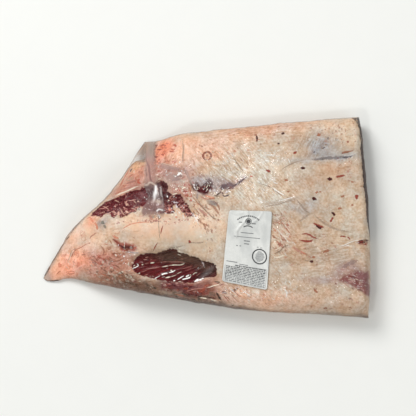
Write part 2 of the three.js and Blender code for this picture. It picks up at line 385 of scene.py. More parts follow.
PALETTE = {  # 0 to 255 a channel
    "cream": (214, 198, 174), "pale": (217, 204, 184), "pale_warm": (230, 204, 178), "peach": (226, 190, 162),
    "apricot": (234, 190, 162), "apricot_light": (240, 200, 174), "orange": (228, 148, 118),
    "amber": (232, 182, 136), "salmon": (206, 150, 130), "salmon_light": (232, 162, 136),
    "pink": (206, 146, 128), "rose_brown": (182, 130, 114), "ochre": (198, 166, 138), "tan": (194, 168, 144),
    "grey_fat": (196, 180, 160), "grey_blue": (178, 172, 166), "slate": (118, 110, 112),
    "slate_dark": (66, 56, 62), "purple_grey": (160, 134, 128), "veil": (196, 166, 156),
    "olive_fat": (190, 142, 120), "olive": (178, 136, 114), "olive_dark": (136, 102, 84), "wine": (90, 32, 36),
    "lean_left": (88, 24, 32), "lean_band": (98, 34, 42), "wine_dark": (62, 24, 28), "red_muscle": (98, 30, 32),
    "brown_muscle": (62, 40, 34), "purple_red": (128, 78, 76), "red": (200, 98, 74), "rust": (172, 112, 84),
    "blood": (150, 66, 52), "blood_dark": (72, 24, 22), "gap": (172, 152, 134), "stamp": (158, 98, 80),
    "vein": (178, 112, 108), "lilac": (182, 168, 164), "plum": (104, 82, 86), "deep_red": (100, 34, 32),
    "white": (252, 250, 244), "bone": (242, 230, 208), "rose_white": (216, 170, 158), "shadow": (120, 98, 78),
    "umber": (70, 50, 38), "rose": (200, 142, 128), "rose_light": (216, 168, 148), "plum_red": (150, 85, 85),
    "lilac_white": (224, 212, 212), "mauve": (150, 105, 100), "brick": (178, 84, 64), "brown": (150, 100, 76),
    "terracotta": (190, 116, 88), "end_shade": (48, 26, 20), "lean_brown": (84, 66, 54),
    "tip_light": (252, 188, 158), "plum_dark": (104, 50, 54), "sage": (136, 134, 122),
    "film_grey": (166, 148, 138), "film_warm": (178, 160, 148), "film_dark": (156, 134, 134),
    "fat_through": (210, 180, 150), "film_pink": (204, 160, 148), "film_rose": (195, 165, 155),
    "film_line": (150, 112, 108), "film_smoke": (128, 104, 102), "film_through": (105, 75, 78),
    "film_bone": (215, 195, 180), "film_shade": (100, 75, 75), "film_silver": (200, 190, 185),
    "film_white": (252, 250, 248), "film_lilac": (178, 148, 143), "film_haze": (162, 126, 121),
    "fat": (196, 178, 156), "marbling": (196, 132, 122), "marbling_fleck": (206, 148, 136),
    "rim_shade_brown": (76, 44, 28), "film_plain": (196, 184, 178), "film_empty": (150, 130, 118),
    "film_tip": (206, 180, 164), "film_seam": (172, 146, 128), "film_seam_shade": (104, 82, 68),
    "film_far": (160, 126, 102), "film_near_shade": (44, 24, 14), "film_end_shade": (44, 30, 22),
    "veiled_rose": (190, 164, 158), "veiled_pink": (192, 160, 152), "veiled_lilac": (186, 172, 172),
    "veiled_cream": (206, 190, 170), "veiled_plum": (140, 118, 124), "paper": (214, 215, 210),
    "paper_light": (224, 225, 221), "paper_dull": (196, 198, 195), "ink": (30, 31, 34),
    "ink_pale": (180, 182, 182), "ink_worn": (200, 201, 200), "floor": (232, 233, 229),
    "floor_light": (234, 235, 231),
}

# Broad tones of the fat, laid over each other in this order: colour, centre, radii, turn, strength. The olive and
# dark olive ovals along the near rim are painted shade.
TONES = """
peach 132,128 87,13 1 .55
cream 194,117 34,18 0 .7
peach 48,112 48,15 2 .75
apricot -6,89 56,24 0 .85
orange -64,88 21,18 20 .95
apricot_light -48,80 14,8 20 .7
salmon -96,56 17,24 -30 .85
amber -98,78 9,12 -30 .7
rose_brown -109,37 25,10 18 .8
salmon -36,58 20,11 0 .6
rose_brown -33,36 20,10 0 .55
pale 68,69 51,31 0 .8
pale 77,27 42,20 0 .75
grey_fat 17,39 25,10 0 .5
grey_blue 160,92 24,17 32 .95
grey_blue 166,80 46,5 2 .8
cream 132,62 28,11 0 .5
ochre 179,63 28,10 0 .6
tan 149,46 31,13 0 .6
grey_fat 179,37 28,8 0 .5
grey_blue 135,11 18,11 0 .6
cream 201,4 25,31 0 .5
pale_warm 2,-12 37,23 0 .85
peach -71,-15 42,17 8 .85
pale_warm -130,-19 28,11 10 .5
grey_fat -145,-8 20,7 10 .5
apricot_light -170,-34 24,23 40 .95
apricot_light -199,-52 21,13 55 .7
salmon_light -187,-70 25,13 20 .9
pink -147,-65 21,15 0 .8
rose_brown -120,-66 25,14 -10 .8
olive_fat -100,-74 23,13 -20 .75
olive -130,-93 42,10 -13 .9
olive_dark -81,-101 37,8 -12 .9
rose_brown 3,-95 25,8 -8 .75
olive 10,-118 28,6 -8 .7
grey_fat 24,-77 11,20 0 .5
apricot 50,-115 37,13 -8 .45
peach 119,-120 51,15 -3 .55
tan 132,-32 23,17 0 .6
grey_fat 116,-71 25,7 0 .7
tan 162,-59 34,17 0 .5
grey_fat 167,-95 37,13 0 .6
purple_grey 201,-76 24,11 20 .8
purple_grey 167,-88 25,6 0 .5
tan 204,-120 31,13 0 .6
grey_fat 220,-55 11,23 0 .5
salmon 80,124 44,9 2 .4
rose_brown -54,62 16,12 0 .6
veil -26,60 14,10 0 .6
rose_brown -28,30 14,14 0 .4
pale_warm -100,-14 40,9 8 .6
apricot_light -163,-20 26,14 50 .6
apricot_light 70,-118 50,9 -3 .5
slate 164,95 7,4 30 .5
slate 152,88 7,3 20 .3
grey_blue -138,-12 7,8 0 .9
pale_warm -150,-28 24,12 30 .5
orange -161,-8 6,9 -40 .5
ochre 30,126 66,12 2 .45
grey_fat 40,64 22,15 0 .55
rose_brown -62,64 18,14 0 .4
rose_brown -28,32 16,12 0 .35
tip_light -196,-66 22,14 30 .7
tip_light -222,-80 12,8 0 .4
salmon -160,-74 18,12 0 .5
rose_brown -128,-78 20,12 0 .45
salmon -98,-42 20,9 0 .35
pale 2,-38 26,14 0 .5
pale_warm 106,-32 20,16 0 .4
rose_brown 4,-104 22,9 -8 .5
slate -147,-13 4.5,5 0 .55
salmon_light -196,-72 20,8 20 .4
cream 4,-42 24,12 0 .5
cream -84,-38 30,7 0 .5
olive_dark -110,-94 36,7 -14 .6
"""
# Lean that shows in the cuts.
MARBLED = path_of("""
-162,-1 -158,5 -152,10 -146,15 -141,19 -136,20 -131,21 -127,23 -121,25 -116,26 -109,29 -102,32 -95,34 -89,34
-87,38 -84,36 -77,38 -68,40 -64,43 -61,45 -55,45 -51,41 -50,38 -51,32 -48,30 -45,27 -41,26 -33,27 -29,23 -27,18
-22,12 -19,5 -13,-2 -9,-4 -13,-5 -19,-3 -23,-5 -26,1 -30,3 -34,8 -38,13 -44,11 -39,2 -45,0 -49,-1 -54,1 -60,0
-65,3 -71,3 -77,6 -82,10 -88,9 -94,7 -92,4 -100,3 -105,-1 -111,-4 -116,-5 -120,1 -125,-6 -129,-3 -133,2 -140,0
-144,-4 -150,-2 -154,0
""".split())
FLUTED = path_of("""
-98,-66 -94,-61 -88,-56 -81,-55 -74,-55 -67,-55 -60,-54 -56,-52 -52,-50 -46,-49 -41,-49 -38,-50 -37,-52 -33,-54
-25,-55 -19,-58 -12,-59 -7,-62 -1,-64 6,-66 13,-68 17,-71 18,-78 17,-86 0,-88 -6,-90 -14,-94 -26,-94 -42,-93
-57,-92 -68,-89 -84,-85 -92,-83 -98,-77 -101,-72
""".split())
SEAM_NEAR = path_of("""
-11,44 -8,41 -7,36 -3,39 3,44 7,47 10,46 11,40 10,36 5,33 6,29 -7,30 -12,34
""".split())
LEAN = [MARBLED, FLUTED, SEAM_NEAR]
# Tones of the lean: colour, centre, radii, turn, strength.
LEAN_TONES = """
lean_left -110,20 46,12 16 1
lean_band -110,2 50,8 5 .9
wine_dark -54,28 9,18 0 .8
wine_dark -24,8 14,12 -45 .4
red_muscle -72,-74 34,22 0 .8
brown_muscle -22,-59 40,8 -8 .95
wine_dark -34,-64 34,3.5 -4 .8
brown_muscle 6,-74 16,14 0 .9
wine_dark 4,37 24,12 0 .5
lean_brown -34,-60 36,7.5 -5 1
lean_brown -8,-68 16,5 -24 .7
"""
# Stains and membranes: colour, softness, strength, outline. The two umber rows along the near rim are painted shade.
STAINS = """
purple_red 3 .95 191,-87 198,-82 210,-78 228,-76 230,-111 223,-110 213,-104 201,-98 187,-91
umber 4 .3 -130,-99 -113,-102 -92,-106 -75,-110 -73,-101 -89,-97 -109,-93 -127,-92
deep_red 4 .6 -64,-90 -44,-87 -19,-95 6,-92 17,-104 13,-115 -7,-117 -34,-112 -62,-102
plum_dark 3 .9 -59,-93 -44,-92 -30,-93 -19,-96 -7,-96 -8,-101 -25,-105 -39,-106 -53,-105 -61,-100
deep_red 2 .8 -31,-106 -14,-103 1,-103 10,-105 4,-111 -12,-113 -29,-112
lilac 4 .85 -18,52 -2,54 14,50 30,47 44,47 58,55 61,51 46,39 30,30 14,25 -8,27 -17,38
blood 2 .85 -126,-34 -117,-38 -107,-41 -97,-43 -92,-48 -97,-53 -107,-52 -115,-50 -121,-45 -126,-39
blood_dark 1.8 .9 -116,-43 -108,-44 -98,-46 -97,-50 -107,-50 -114,-48
wine 1.2 .9 -12,45 -8,43 -6,37 -1,40 3,45 7,49 11,46 12,40 11,35 7,30 6,27 -7,29 -13,34
olive_dark 1.5 .85 -2,-109 7,-106 15,-105 25,-118 12,-117 1,-115
umber 2 .35 -148,-88 -130,-91 -109,-96 -90,-101 -71,-108 -55,-113 -36,-117 -13,-120 9,-124 29,-126 30,-122
  2,-118 -29,-114 -55,-108 -76,-103 -95,-97 -118,-91 -147,-84
pale_warm 3 .7 -183,-42 -178,-28 -172,-19 -164,-15 -161,-24 -165,-34 -173,-41
plum 1.6 .9 20,36 24,40 28,43 35,44 40,43 43,40 40,36 36,33 29,35
"""

# Streaks, veins and spots of the beef, one a line: colour, half width, strength, then the path's x,y pairs. Some rows
# are painted light: the gap lines are painted shade along creases, most umber and shadow lines are painted shade
# along the near rim and in gaps, and the bone dab at the end of the orange streak by the whorls is a painted
# highlight.
BEEF_MARKS = """
plum 1.7 .9 40,39 48,44 53,48 60,53
plum 1.2 .8 24,26 30,25 35,28
orange 1.4 .8 0,26 9,23 17,21
grey_blue 4 .4 2,20 12,15 20,10
slate 2.6 .45 141,78 155,78 169,80 181,80 190,81 199,81 212,86
slate_dark 1.2 .9 189,81 196,81 204,82
gap .9 .8 104,61 114,68 126,74 141,78
slate_dark 1.3 .6 162,92 165,94 167,95
slate 1.8 .5 150,87 153,89
slate 1.8 .4 169,105 172,109
rust .9 .6 187,85 194,87 202,88
gap .8 .8 36,86 42,76 49,66 56,57
gap .8 .6 71,44 80,42 89,39 100,31 113,23
gap 1 .9 80,9 91,12 105,15 114,19 126,23
gap 2 .48 126,23 132,15 140,6 147,1
gap 2 .32 148,3 168,-13 187,-21 206,-24
gap 2 .32 148,2 139,-3 129,-11
slate 2 .4 -139,-12 -138,-14
red 1.3 .8 -106,69 -112,56 -118,43 -121,38
gap .7 .7 -32,109 -30,94 -30,78 -31,66
gap 1.1 .7 -31,66 -24,55 -19,44 -16,33
blood 1.3 .9 -31,32 -26,31
red 1.4 .8 -18,19 -15,18
red 1 .6 -24,26 -21,23
rust 1.8 .48 3,15 12,11 18,4 23,-4
rust 1.8 .48 13,18 20,11 22,3
rust 1.8 .4 -9,-6 -2,-13 8,-17
orange .9 .7 -117,-24 -104,-16 -93,-13 -82,-12 -71,-13
salmon 2.6 .6 -76,-2 -72,-6 -71,-11
blood .9 .8 -55,-15 -57,-22 -59,-30
blood .8 .8 -62,-39 -66,-45 -70,-52
gap .7 .8 -62,-5 -61,-20 -60,-31 -59,-38
gap 1.1 .5 -24,-41 -16,-40 -6,-40 5,-38
gap 1 .4 -53,-48 -42,-47 -32,-45 -24,-43
blood 1.9 .95 -20,-36 -18,-41
rust 1 .55 -22,33 -15,23 -8,15 1,6 9,-2 17,-9 25,-17
rose 2.3 .5 -10,9 -1,2 8,-6
rust .8 .5 -5,10 3,8 12,5
rust .8 .5 -16,12 -9,4 -1,-7
rose_light 1.1 .6 -127,21 -122,19 -118,16
rose_light 1.3 .6 -112,19 -107,14 -103,11
rose_light 1.1 .6 -144,13 -138,10 -132,6
rose_light 1.1 .6 -131,5 -126,3 -120,0
rose_light 1.4 .6 -117,9 -114,3 -109,-3
rose_light 1.1 .6 -103,8 -97,7 -91,2
rose_light 1 .55 -99,20 -96,17 -93,14
rose_light 1.1 .6 -91,12 -85,9 -79,6
rose_light 1 .6 -140,2 -134,1 -128,-1
wine 1.6 .5 -119,-42 -113,-45 -107,-48
blood 1.4 .5 -129,-33 -122,-38 -117,-42
apricot_light 6 .5 -177,-20 -171,-29 -174,-38
rose_brown 3 .4 -162,-59 -156,-65 -152,-73
red 1.3 .45 -159,-61 -152,-66 -142,-69 -132,-73
red 1.2 .45 -153,-55 -144,-60 -134,-64
rust 1 .5 -146,-42 -140,-50 -142,-57
blood 2.3 .85 180,53 187,54 195,56
blood_dark 2 .95 175,4 179,1 178,-2
blood 1.8 .85 178,-2 176,-6 173,-11
blood_dark 2.6 .95 154,-13 158,-17 163,-19
blood 1.6 .8 149,-10 154,-13 167,-18
blood 1.4 .8 132,-28 138,-26 144,-27 151,-31 160,-34
blood 1.8 .85 130,-34 138,-36 147,-36 152,-32
blood 1.4 .8 186,-30 191,-29 196,-31
blood 1.4 .8 197,-30 200,-32 201,-35
blood_dark 3 .9 211,-37 219,-36 228,-34
blood 3.5 .7 209,-37 219,-38 228,-39
blood 1.9 .7 228,-48 229,-62 229,-76
purple_grey 4 .4 189,-74 201,-66 214,-62
stamp 1.9 .8 6,76 0,77 -2,82 1,86 6,87
stamp 1.9 .8 0,85 5,87 9,83 8,78 3,75
stamp 1.5 .4 1,81 5,82
blood_dark 1.9 .8 105.2,113 108,114 110.8,115
blood_dark 1.7 .8 100,100 102,100 104,100
blood 1.9 .9 122.1,85.3 125,87 127.9,88.7
blood_dark 2.3 .9 132,65 136,65 140,65
blood 2.3 .9 84,62.5 88,61 92,59.5
red 1.7 .7 62.8,53 65,53 67.2,53
rust 1.9 .9 110.1,48 113,48 115.9,48
rust 1.8 .9 115.9,45 118,45 120.1,45
blood_dark 2.8 1 168.9,50 173,50 177.1,50
blood 1.7 .8 196.1,102 198,102 199.9,102
rust 2.4 .8 154.5,110.7 158,112 161.5,113.3
rust 1.8 .8 152.6,29.6 155,31 157.4,32.4
rust 1.4 .8 157.8,32 160,32 162.2,32
blood 3 .9 210.5,21 210,25 210,29
blood_dark 2.6 .9 148.3,24.1 152,22 155.7,19.9
rust 1.6 .8 201.8,14 204,14 206.2,14
rust 1.7 .9 183.7,8.4 187,9 190.3,9.6
rust 1.6 .6 113.8,32 116,32 118.2,32
rust 1.8 .7 187.9,24.9 191,26 194.1,27.1
rust 1.8 .9 201.4,46 204,46 206.6,46
blood_dark 2.2 1 145.2,-64 148,-64 150.8,-64
rust 1.8 .9 148,-58.5 151,-58 154,-57.5
rust 1.9 .9 150.6,-102.1 154,-105 157.4,-107.9
rust 1.9 .6 163.5,-128 167,-128 170.5,-128
rust 1.8 .5 198.1,-128 201,-128 203.9,-128
rust 2.2 .7 162.6,-52 168,-50 173.4,-48
blood_dark 5.3 .85 70.1,106.8 72,107 73.9,107.2
rust 1.7 .7 67.5,112 70,112 72.5,112
rust 1.7 .5 -6,95 -4,95 -2,95
rose .6 .9 -151,9 -147,9 -142,9 -138,11 -135,12 -132,14
rose .7 .8 -140,6 -140,3 -141,1
vein 1.8 .7 -136,6 -132,6
rose 1.7 .9 -126,12 -123,11
vein 1.3 .9 -119,14 -117,14
vein 1.3 .8 -119,9 -117,8
rose 1.4 .9 -128,5 -126,4 -123,2
rose_light 1.1 .9 -126,0 -123,0
rose_light 1.7 .9 -119,5 -119,1 -118,-3
rose 1.3 .95 -110,14 -108,18 -106,20
rose .8 .9 -107,19 -102,19 -97,20 -93,20
rose_light 2.1 .9 -109,15 -106,12
rose 1.1 .9 -114,11 -111,9 -107,7
rose_light 1.7 .9 -110,5 -107,3 -104,1
rose .8 .8 -105,1 -103,3 -101,6
rose_light 1.3 .95 -93,18 -90,17
rose 1.1 .8 -97,8 -93,9 -89,10
vein .7 .6 -131,7 -128,9
vein .7 .6 -122,8 -120,6
vein .6 .5 -145,5 -143,1
plum_red 2.3 .6 -154,5 -149,2 -146,0
vein .6 .6 -88,27 -85,29
vein .6 .5 -114,16 -115,12
vein .5 .5 -137,18 -138,15
vein .5 .5 -104,11 -101,13
bone 1.1 .8 -100,-1 -99,0
bone .8 .6 -94,3 -90,5
lilac .7 .6 -106,-1 -101,2
lilac .7 .6 -98,1 -94,3
lilac 2.3 .6 -92,5 -87,8
salmon_light 2.1 .8 -49,5 -45,7
rose 1 .6 -50,11 -47,12 -44,11
plum .7 .7 -52,10 -50,7 -51,4
rose 1.1 .6 -32,6 -29,2
rose 1 .6 -26,3 -22,0
bone 2 .9 -45,-1 -41,-2
bone 1.7 .9 -40,-2 -36,-2
white 1.4 .8 -35,3 -31,-1
salmon_light 1.8 .7 -40,-5 -35,-5
red 1.3 .6 -26,1 -25,-5
rose_brown 1.4 .5 -22,0 -18,-5
mauve 1.8 .7 -45,45 -40,48 -36,48 -31,48
mauve 1.7 .6 -42,49 -36,52 -28,53
salmon 1.1 .6 -48,43 -40,41 -32,38
blood 1.4 .9 -29,32 -26,31 -23,29
blood_dark .7 .7 -29,31 -26,30
red 1.1 .7 -38,35 -33,32 -30,31
red .8 .6 -34,36 -28,35
red 1 .7 -27,40 -25,37
red 1.4 .7 -20,18 -17,19
rust .7 .6 -19,18 -14,16 -8,15
red .8 .5 -10,14 -4,12
amber 1.3 .5 -19,39 -18,32
lilac 1.3 .5 -9,29 -8,19
slate .8 .5 -10,24 -9,20
wine 1.3 .8 -11,44 -9,41 -8,37
rose .7 .8 -3,36 -1,34
rose .7 .9 0,39 2,37
wine_dark .8 .9 0,31 3,35 6,39
wine_dark .7 .9 -1,34 2,38
wine 1.1 .9 7,47 10,46
umber 1.1 .6 2,48 4,47
lilac 3.7 .5 12,42 14,38 18,34
lilac 2.5 .5 18,42 21,39
plum 2.5 .85 22,36 28,39 34,41
plum 2 .8 22,35 25,35 29,36
mauve 2.3 .6 34,35 38,39
plum 1.3 .85 37,38 43,41 47,43 51,44
mauve 1.3 .5 38,34 42,38
slate .8 .5 30,25 34,26 36,30
umber 1.3 .8 17,26 21,29 24,32
wine 1.1 .8 24,31 26,28 27,25
umber .8 .9 13,26 17,25 23,25
umber 1 .8 27,26 29,24
salmon 1.3 .7 -7,26 -1,22 6,20 16,21
apricot 1 .7 0,25 6,23 15,23
rust .6 .7 5,22 11,21 17,21
purple_grey 3.4 .4 7,17 14,15 21,14
umber 1.3 .9 -59,-63 -47,-63 -37,-63 -29,-65 -21,-65
bone .6 .6 -37,-55 -31,-57
rose 1.1 .55 -60,-95 -55,-96
rose 1.1 .55 -50,-95 -45,-97
rose 1 .5 -56,-101 -47,-105
rose .8 .5 -39,-97 -32,-99
wine 1.7 .7 -46,-96 -41,-98 -37,-101
wine 1.5 .8 -32,-101 -25,-100 -19,-100 -12,-99
wine 1.1 .6 -52,-93 -48,-94 -43,-94
plum_red 2 .6 -30,-95 -25,-96 -21,-97
brick 2.7 .45 -22,-109 -11,-106 -3,-106 5,-105
brick 1.8 .45 -6,-110 2,-109 9,-107
deep_red 1.7 .45 -24,-110 -14,-111 -6,-112
umber 1.5 .9 -11,-116 -8,-113 -2,-112
olive_dark 2.7 .8 6,-108 12,-109 16,-113
umber .8 .6 -1,-113 8,-114 15,-115
umber 1.8 .95 16,-106 19,-111 22,-116 24,-119
mauve 2.8 .5 24,-106 32,-109
terracotta .8 .6 26,-109 30,-115 35,-121
terracotta .8 .6 30,-112 36,-118
terracotta .8 .5 36,-108 41,-114 47,-120
terracotta .7 .5 39,-104 46,-110 53,-114
bone .8 .5 33,-105 40,-110 47,-116
shadow 1.7 .6 13,-92 18,-93 24,-95
rose_brown 1.7 .8 -56,-111 -42,-113 -29,-115 -12,-117
terracotta 1.1 .8 -45,-109 -34,-111 -25,-114
umber 1 .9 -64,-112 -50,-115 -36,-117 -15,-120
umber 1.1 .9 -16,-120 0,-122 14,-124 28,-126 45,-127
tan 2.4 .6 -62,-105 -56,-107 -50,-109
umber 1.4 .6 -74,-106 -68,-110
shadow 1.7 .5 -75,-99 -67,-103
bone 2.3 .7 -138,-36 -135,-38
red .6 .7 -140,-39 -136,-42 -133,-39
rust .8 .8 -132,-35 -130,-38 -128,-42
rose_light 1.7 .8 -131,-50 -129,-51
rust .8 .7 -135,-49 -130,-48
brown 1 .85 -126,-57 -125,-54 -121,-54 -118,-54 -116,-57 -117,-60
bone 1.1 .8 -124,-56 -121,-57
rose_light .8 .8 -115,-57 -114,-62
brown .8 .6 -136,-63 -131,-64 -125,-65 -120,-65 -116,-63 -116,-59
brown .7 .6 -133,-59 -127,-62
rose_light .8 .5 -123,-67 -118,-66 -114,-63
rose_white 1.1 .8 -121,-78 -120,-80
rose_white 1.4 .8 -130,-88 -127,-89
brown 1.3 .6 -124,-69 -121,-72 -116,-75
umber 1.1 .55 -116,-84 -112,-86
umber 1 .55 -109,-82 -105,-85
umber 1.3 .55 -103,-85 -99,-87
plum_red 1.3 .5 -100,-92 -93,-93
terracotta 1 .75 -149,-80 -141,-83 -137,-85 -134,-88 -132,-93
terracotta .8 .6 -169,-82 -160,-81 -150,-83 -143,-87
rose_light 2.7 .6 -141,-68 -134,-72
brick 1.4 .5 -141,-65 -139,-66
brick 1.7 .8 -98,-50 -94,-46 -92,-44
orange 2.1 .75 -128,-29 -123,-32 -118,-34
bone .8 .8 -117,-32 -117,-35
lilac 1.3 .6 -111,-52 -102,-53 -94,-54 -87,-53
orange 2.8 .7 -211,-64 -207,-71
terracotta .8 .8 -207,-76 -211,-78 -214,-81
orange 3.1 .6 -201,-78 -194,-79 -184,-78
orange 2.5 .5 -183,-64 -179,-67 -184,-70
terracotta 1.1 .7 -165,-39 -161,-38
salmon 1.1 .5 -163,-34 -160,-30 -155,-27 -149,-24
sage 2.8 .7 -143,-9 -139,-14
sage 2.3 .5 -140,-14 -136,-20
orange 1.7 .8 -162,-3 -157,-8 -155,-12
orange 2.1 .8 -154,-10 -150,-16 -150,-22
orange 1 .6 -168,-5 -163,-3 -157,-5
salmon 1.3 .5 -176,-27 -173,-28
brick 1.1 .85 -109,76 -109,65 -109,60 -111,53 -114,48 -117,43 -120,37
brick 1.5 .36 -105,80 -106,75
slate_dark 1.5 .95 -103,67 -105,64 -105,60
bone 1.4 .6 -100,64 -99,58
brick 1 .7 -100,57 -104,54 -108,50
rose_light 1.1 .6 -102,57 -108,53
tan 3.4 .7 -111,48 -104,50 -97,51
rose_brown 1.4 .6 -111,43 -102,45 -94,47
blood 1.3 .8 -115,40 -113,41
salmon 3.4 .7 -94,61 -88,56 -89,49
red 2.55 .36 -93,61 -86,57
red 1.5 .6 -94,45 -87,42
amber 3.7 .8 -98,83 -93,70
bone 1.3 .8 -130,24 -121,28 -109,32 -99,36 -88,40
rose_brown .8 .7 -122,34 -112,36 -102,38 -91,41
terracotta .7 .5 -130,29 -121,31 -115,33
amber 2.7 .5 -76,94 -74,82
blood 1.7 .8 -75,102 -70,103
blood 1.4 .7 -72,96 -67,95 -62,95
brick 2.25 .42 -73,84 -68,82
brick 1.5 .42 -77,98 -73,96
brick 1.95 .42 -68,102 -61,101 -55,98
red 1.65 .48 -49,94 -45,91 -40,92
red 1.65 .48 -51,90 -45,88 -41,88
brown .7 .7 -45,76 -42,78
red 1.5 .36 -59,104 -52,101
red 1.2 .36 -64,87 -57,85
red 1.2 .36 -66,74 -60,72
red 1.65 .3 -65,60 -59,59
red 1 .5 -58,54 -52,53
brick 1 .5 -66,52 -59,51
red 1.5 .3 -55,61 -48,59
brick .8 .5 -65,47 -56,46
red 1.2 .3 -54,74 -48,73
red 1.2 .3 -59,80 -52,78
terracotta .7 .6 100,-2 110,-14 117,-24 124,-33
salmon 2.3 .55 101,-40 106,-43 112,-46
salmon 2.5 .5 121,-43 129,-49 138,-54
orange 1.4 .5 131,-49 136,-52 142,-55
"""

# Random flecks of the fat and the lean: how many, centre, radii, turn, heading, its spread, lengths, half widths,
# colours, strengths. The umber and shadow flecks of the two rows along the near rim are painted shade.
FAT_FLECKS = """
28 -62,88 24,22 0 -20 25 3,9 .9,2.7 red,red,orange .21,.6
17 -98,56 14,26 -30 60 35 3,9 .8,2.2 red,orange,amber .21,.6
27 -40,60 24,16 0 10 30 3,8 .8,2.1 red,rust,peach .17,.45
22 -24,24 14,18 -45 -45 30 2,7 .8,2 red,rust,bone .21,.52
38 48,112 56,14 2 5 20 4,10 .8,2.1 rust,orange,amber .08,.26
38 30,70 46,28 0 -48 12 4,10 .7,1.8 rust,salmon,bone .1,.3
33 74,36 44,24 0 -40 16 4,10 .7,1.8 tan,ochre,bone .14,.38
27 20,90 50,22 0 -30 20 2,6 .8,1.8 orange,rust .14,.34
27 200,58 26,24 0 0 60 2,6 .8,2.1 rust,red .1,.34
27 130,112 80,16 0 10 40 2,7 .8,2.1 rust,red,salmon .08,.26
22 152,92 26,18 30 30 30 3,8 1.1,2.7 slate,grey_blue,cream .08,.26
38 142,-44 40,26 0 -20 25 3,9 .8,2 rust,salmon,cream .14,.34
27 106,-30 14,26 0 -50 20 3,8 .9,2.1 red,orange,rust .14,.38
44 70,-110 64,16 -3 -35 30 3,8 .8,2.2 rust,salmon,bone .14,.38
22 180,-110 44,20 0 20 45 2,6 .8,1.8 rust,salmon,cream .1,.3
49 -104,-92 54,10 -14 -20 20 4,11 .9,2.7 umber,shadow,bone .1,.34
38 -138,-62 28,14 0 -16 24 4,10 .9,2.4 red,rose_white,rust .14,.38
27 -108,-52 26,12 0 -10 40 3,8 .8,2 rust,bone,red .17,.45
55 -14,-104 40,12 -5 8 12 4,11 .8,2.1 wine,vein,rose_white,red .21,.56
33 208,-90 20,16 0 -28 14 4,11 .7,1.7 wine,blood,rose_white .21,.52
22 -186,-60 24,18 40 40 30 4,11 1.4,3.6 orange,salmon,bone .1,.3
22 -100,-16 60,14 8 10 14 5,14 .7,1.7 peach,bone,orange .14,.3
36 8,-20 12,34 0 -62 22 3,9 .8,1.9 rust,salmon,brown,bone .2,.45
50 104,-24 16,40 0 -50 20 3,9 .8,1.7 rust,salmon,bone .25,.5
60 180,112 44,20 0 40 50 2,5 .8,1.6 bone,rust,ochre .2,.45
70 -140,-74 44,16 -10 -14 30 3,9 .8,1.8 rose_light,brown,bone,rust .25,.5
60 -32,36 16,16 0 -30 40 3,8 1,2.2 bone,rose_white,red,pale_warm .25,.6
60 -18,4 16,18 -45 -45 40 2,6 .8,1.8 bone,white,rose_white,rust .3,.6
60 -60,-10 70,4 2 0 60 2,5 .8,1.8 bone,pink,vein .25,.55
60 -30,-113 70,5 -9 -6 12 4,10 .8,2 umber,shadow,olive_dark .25,.6
"""
LEAN_FLECKS = """
30 -104,20 44,9 16 20 25 3,9 .3,.7 plum_red,wine_dark .25,.5
90 -108,2 44,7 6 25 55 2,6 .4,1 rose,vein,rose_light .35,.85
40 -60,8 12,10 0 60 40 2,5 .4,.9 rose,vein,lilac_white .35,.8
34 -34,8 18,12 -40 -50 50 2,6 .4,.9 vein,rose,lilac_white .3,.8
40 -50,-72 50,20 0 18 12 3,10 .3,.8 wine_dark,blood .3,.6
16 0,-74 24,10 0 -30 30 2,6 .3,.7 mauve,umber .3,.6
"""


def laid(colour, over, strength):
    """A colour laid over others with a strength at each place."""
    return mix(over, linear(colour), np.asarray(strength)[..., None])


def fat_colours(x, y):
    colours = np.broadcast_to(linear("fat"), (len(x), 3))
    wander = 5
    u, v = x + wander * noise(x, y, 17, 1), y + wander * noise(x, y, 17, 2)
    for colour, at, radii, turn, strength in oval_rows(TONES):
        colours = laid(colour, colours, np.minimum(1, 1.35 * oval(u, v, at, radii, turn)) * strength)
    for colour, softness, strength, outline in mark_rows(STAINS):
        ragged = inward(x + 2 * noise(x, y, 6, 3), y + 2 * noise(x, y, 6, 4), outline)
        colours = laid(colour, colours, strength * ramp(ragged, -softness, softness))
    return colours


def lean_depth(x, y):
    """Distance inside the lean that shows, negative in the fat."""
    u, v = x + 0.8 * noise(x, y, 4, 9), y + 0.8 * noise(x, y, 4, 10)
    return np.maximum.reduce([inward(u, v, outline) for outline in LEAN])


def lean_colours(x, y):
    colours = np.broadcast_to(linear("wine"), (len(x), 3))
    for colour, at, radii, turn, strength in oval_rows(LEAN_TONES):
        colours = laid(colour, colours, np.minimum(1, 1.4 * oval(x, y, at, radii, turn)) * strength)
    return colours


# Where the fat's grain runs along each of three headings: ovals of centre, radii, strength.
GRAIN_HEADINGS = (-48, 5, 65)
GRAIN = [
    [((34, 66), (60, 34), 1), ((70, -108), (60, 20), 0.8), ((110, -36), (22, 40), 0.6), ((90, 30), (50, 26), 0.6)],
    [((50, 118), (90, 14), 0.8), ((-110, -80), (60, 24), 0.9), ((170, -50), (60, 40), 0.6),
     ((-10, -104), (50, 14), 0.9)],
    [((-70, 70), (34, 40), 0.9), ((-186, -50), (34, 30), 0.6), ((150, 96), (30, 20), 0.6)],
]
# Where the fat is smooth: centre, radii, strength.
CALM = [((-56, -22), (80, 20), 1), ((-8, -34), (26, 22), 0.8), ((-170, -28), (18, 16), 0.9),
        ((-186, -52), (14, 14), 0.5)]
# Where the fat is wrinkled in whorls: centre, radii, strength.
WHORLS = [((-124, -56), (34, 20), 1), ((-190, -62), (26, 20), 0.3), ((-100, 60), (20, 30), 0.6),
          ((-60, 88), (24, 22), 0.4), ((-110, -90), (60, 12), 0.8), ((80, -108), (60, 16), 0.5),
          ((112, -30), (24, 34), 0.5), ((60, 112), (60, 12), 0.4), ((180, 112), (40, 20), 0.3)]


# ------------------------------------------------------------------ fine relief of the beef and creases of the film

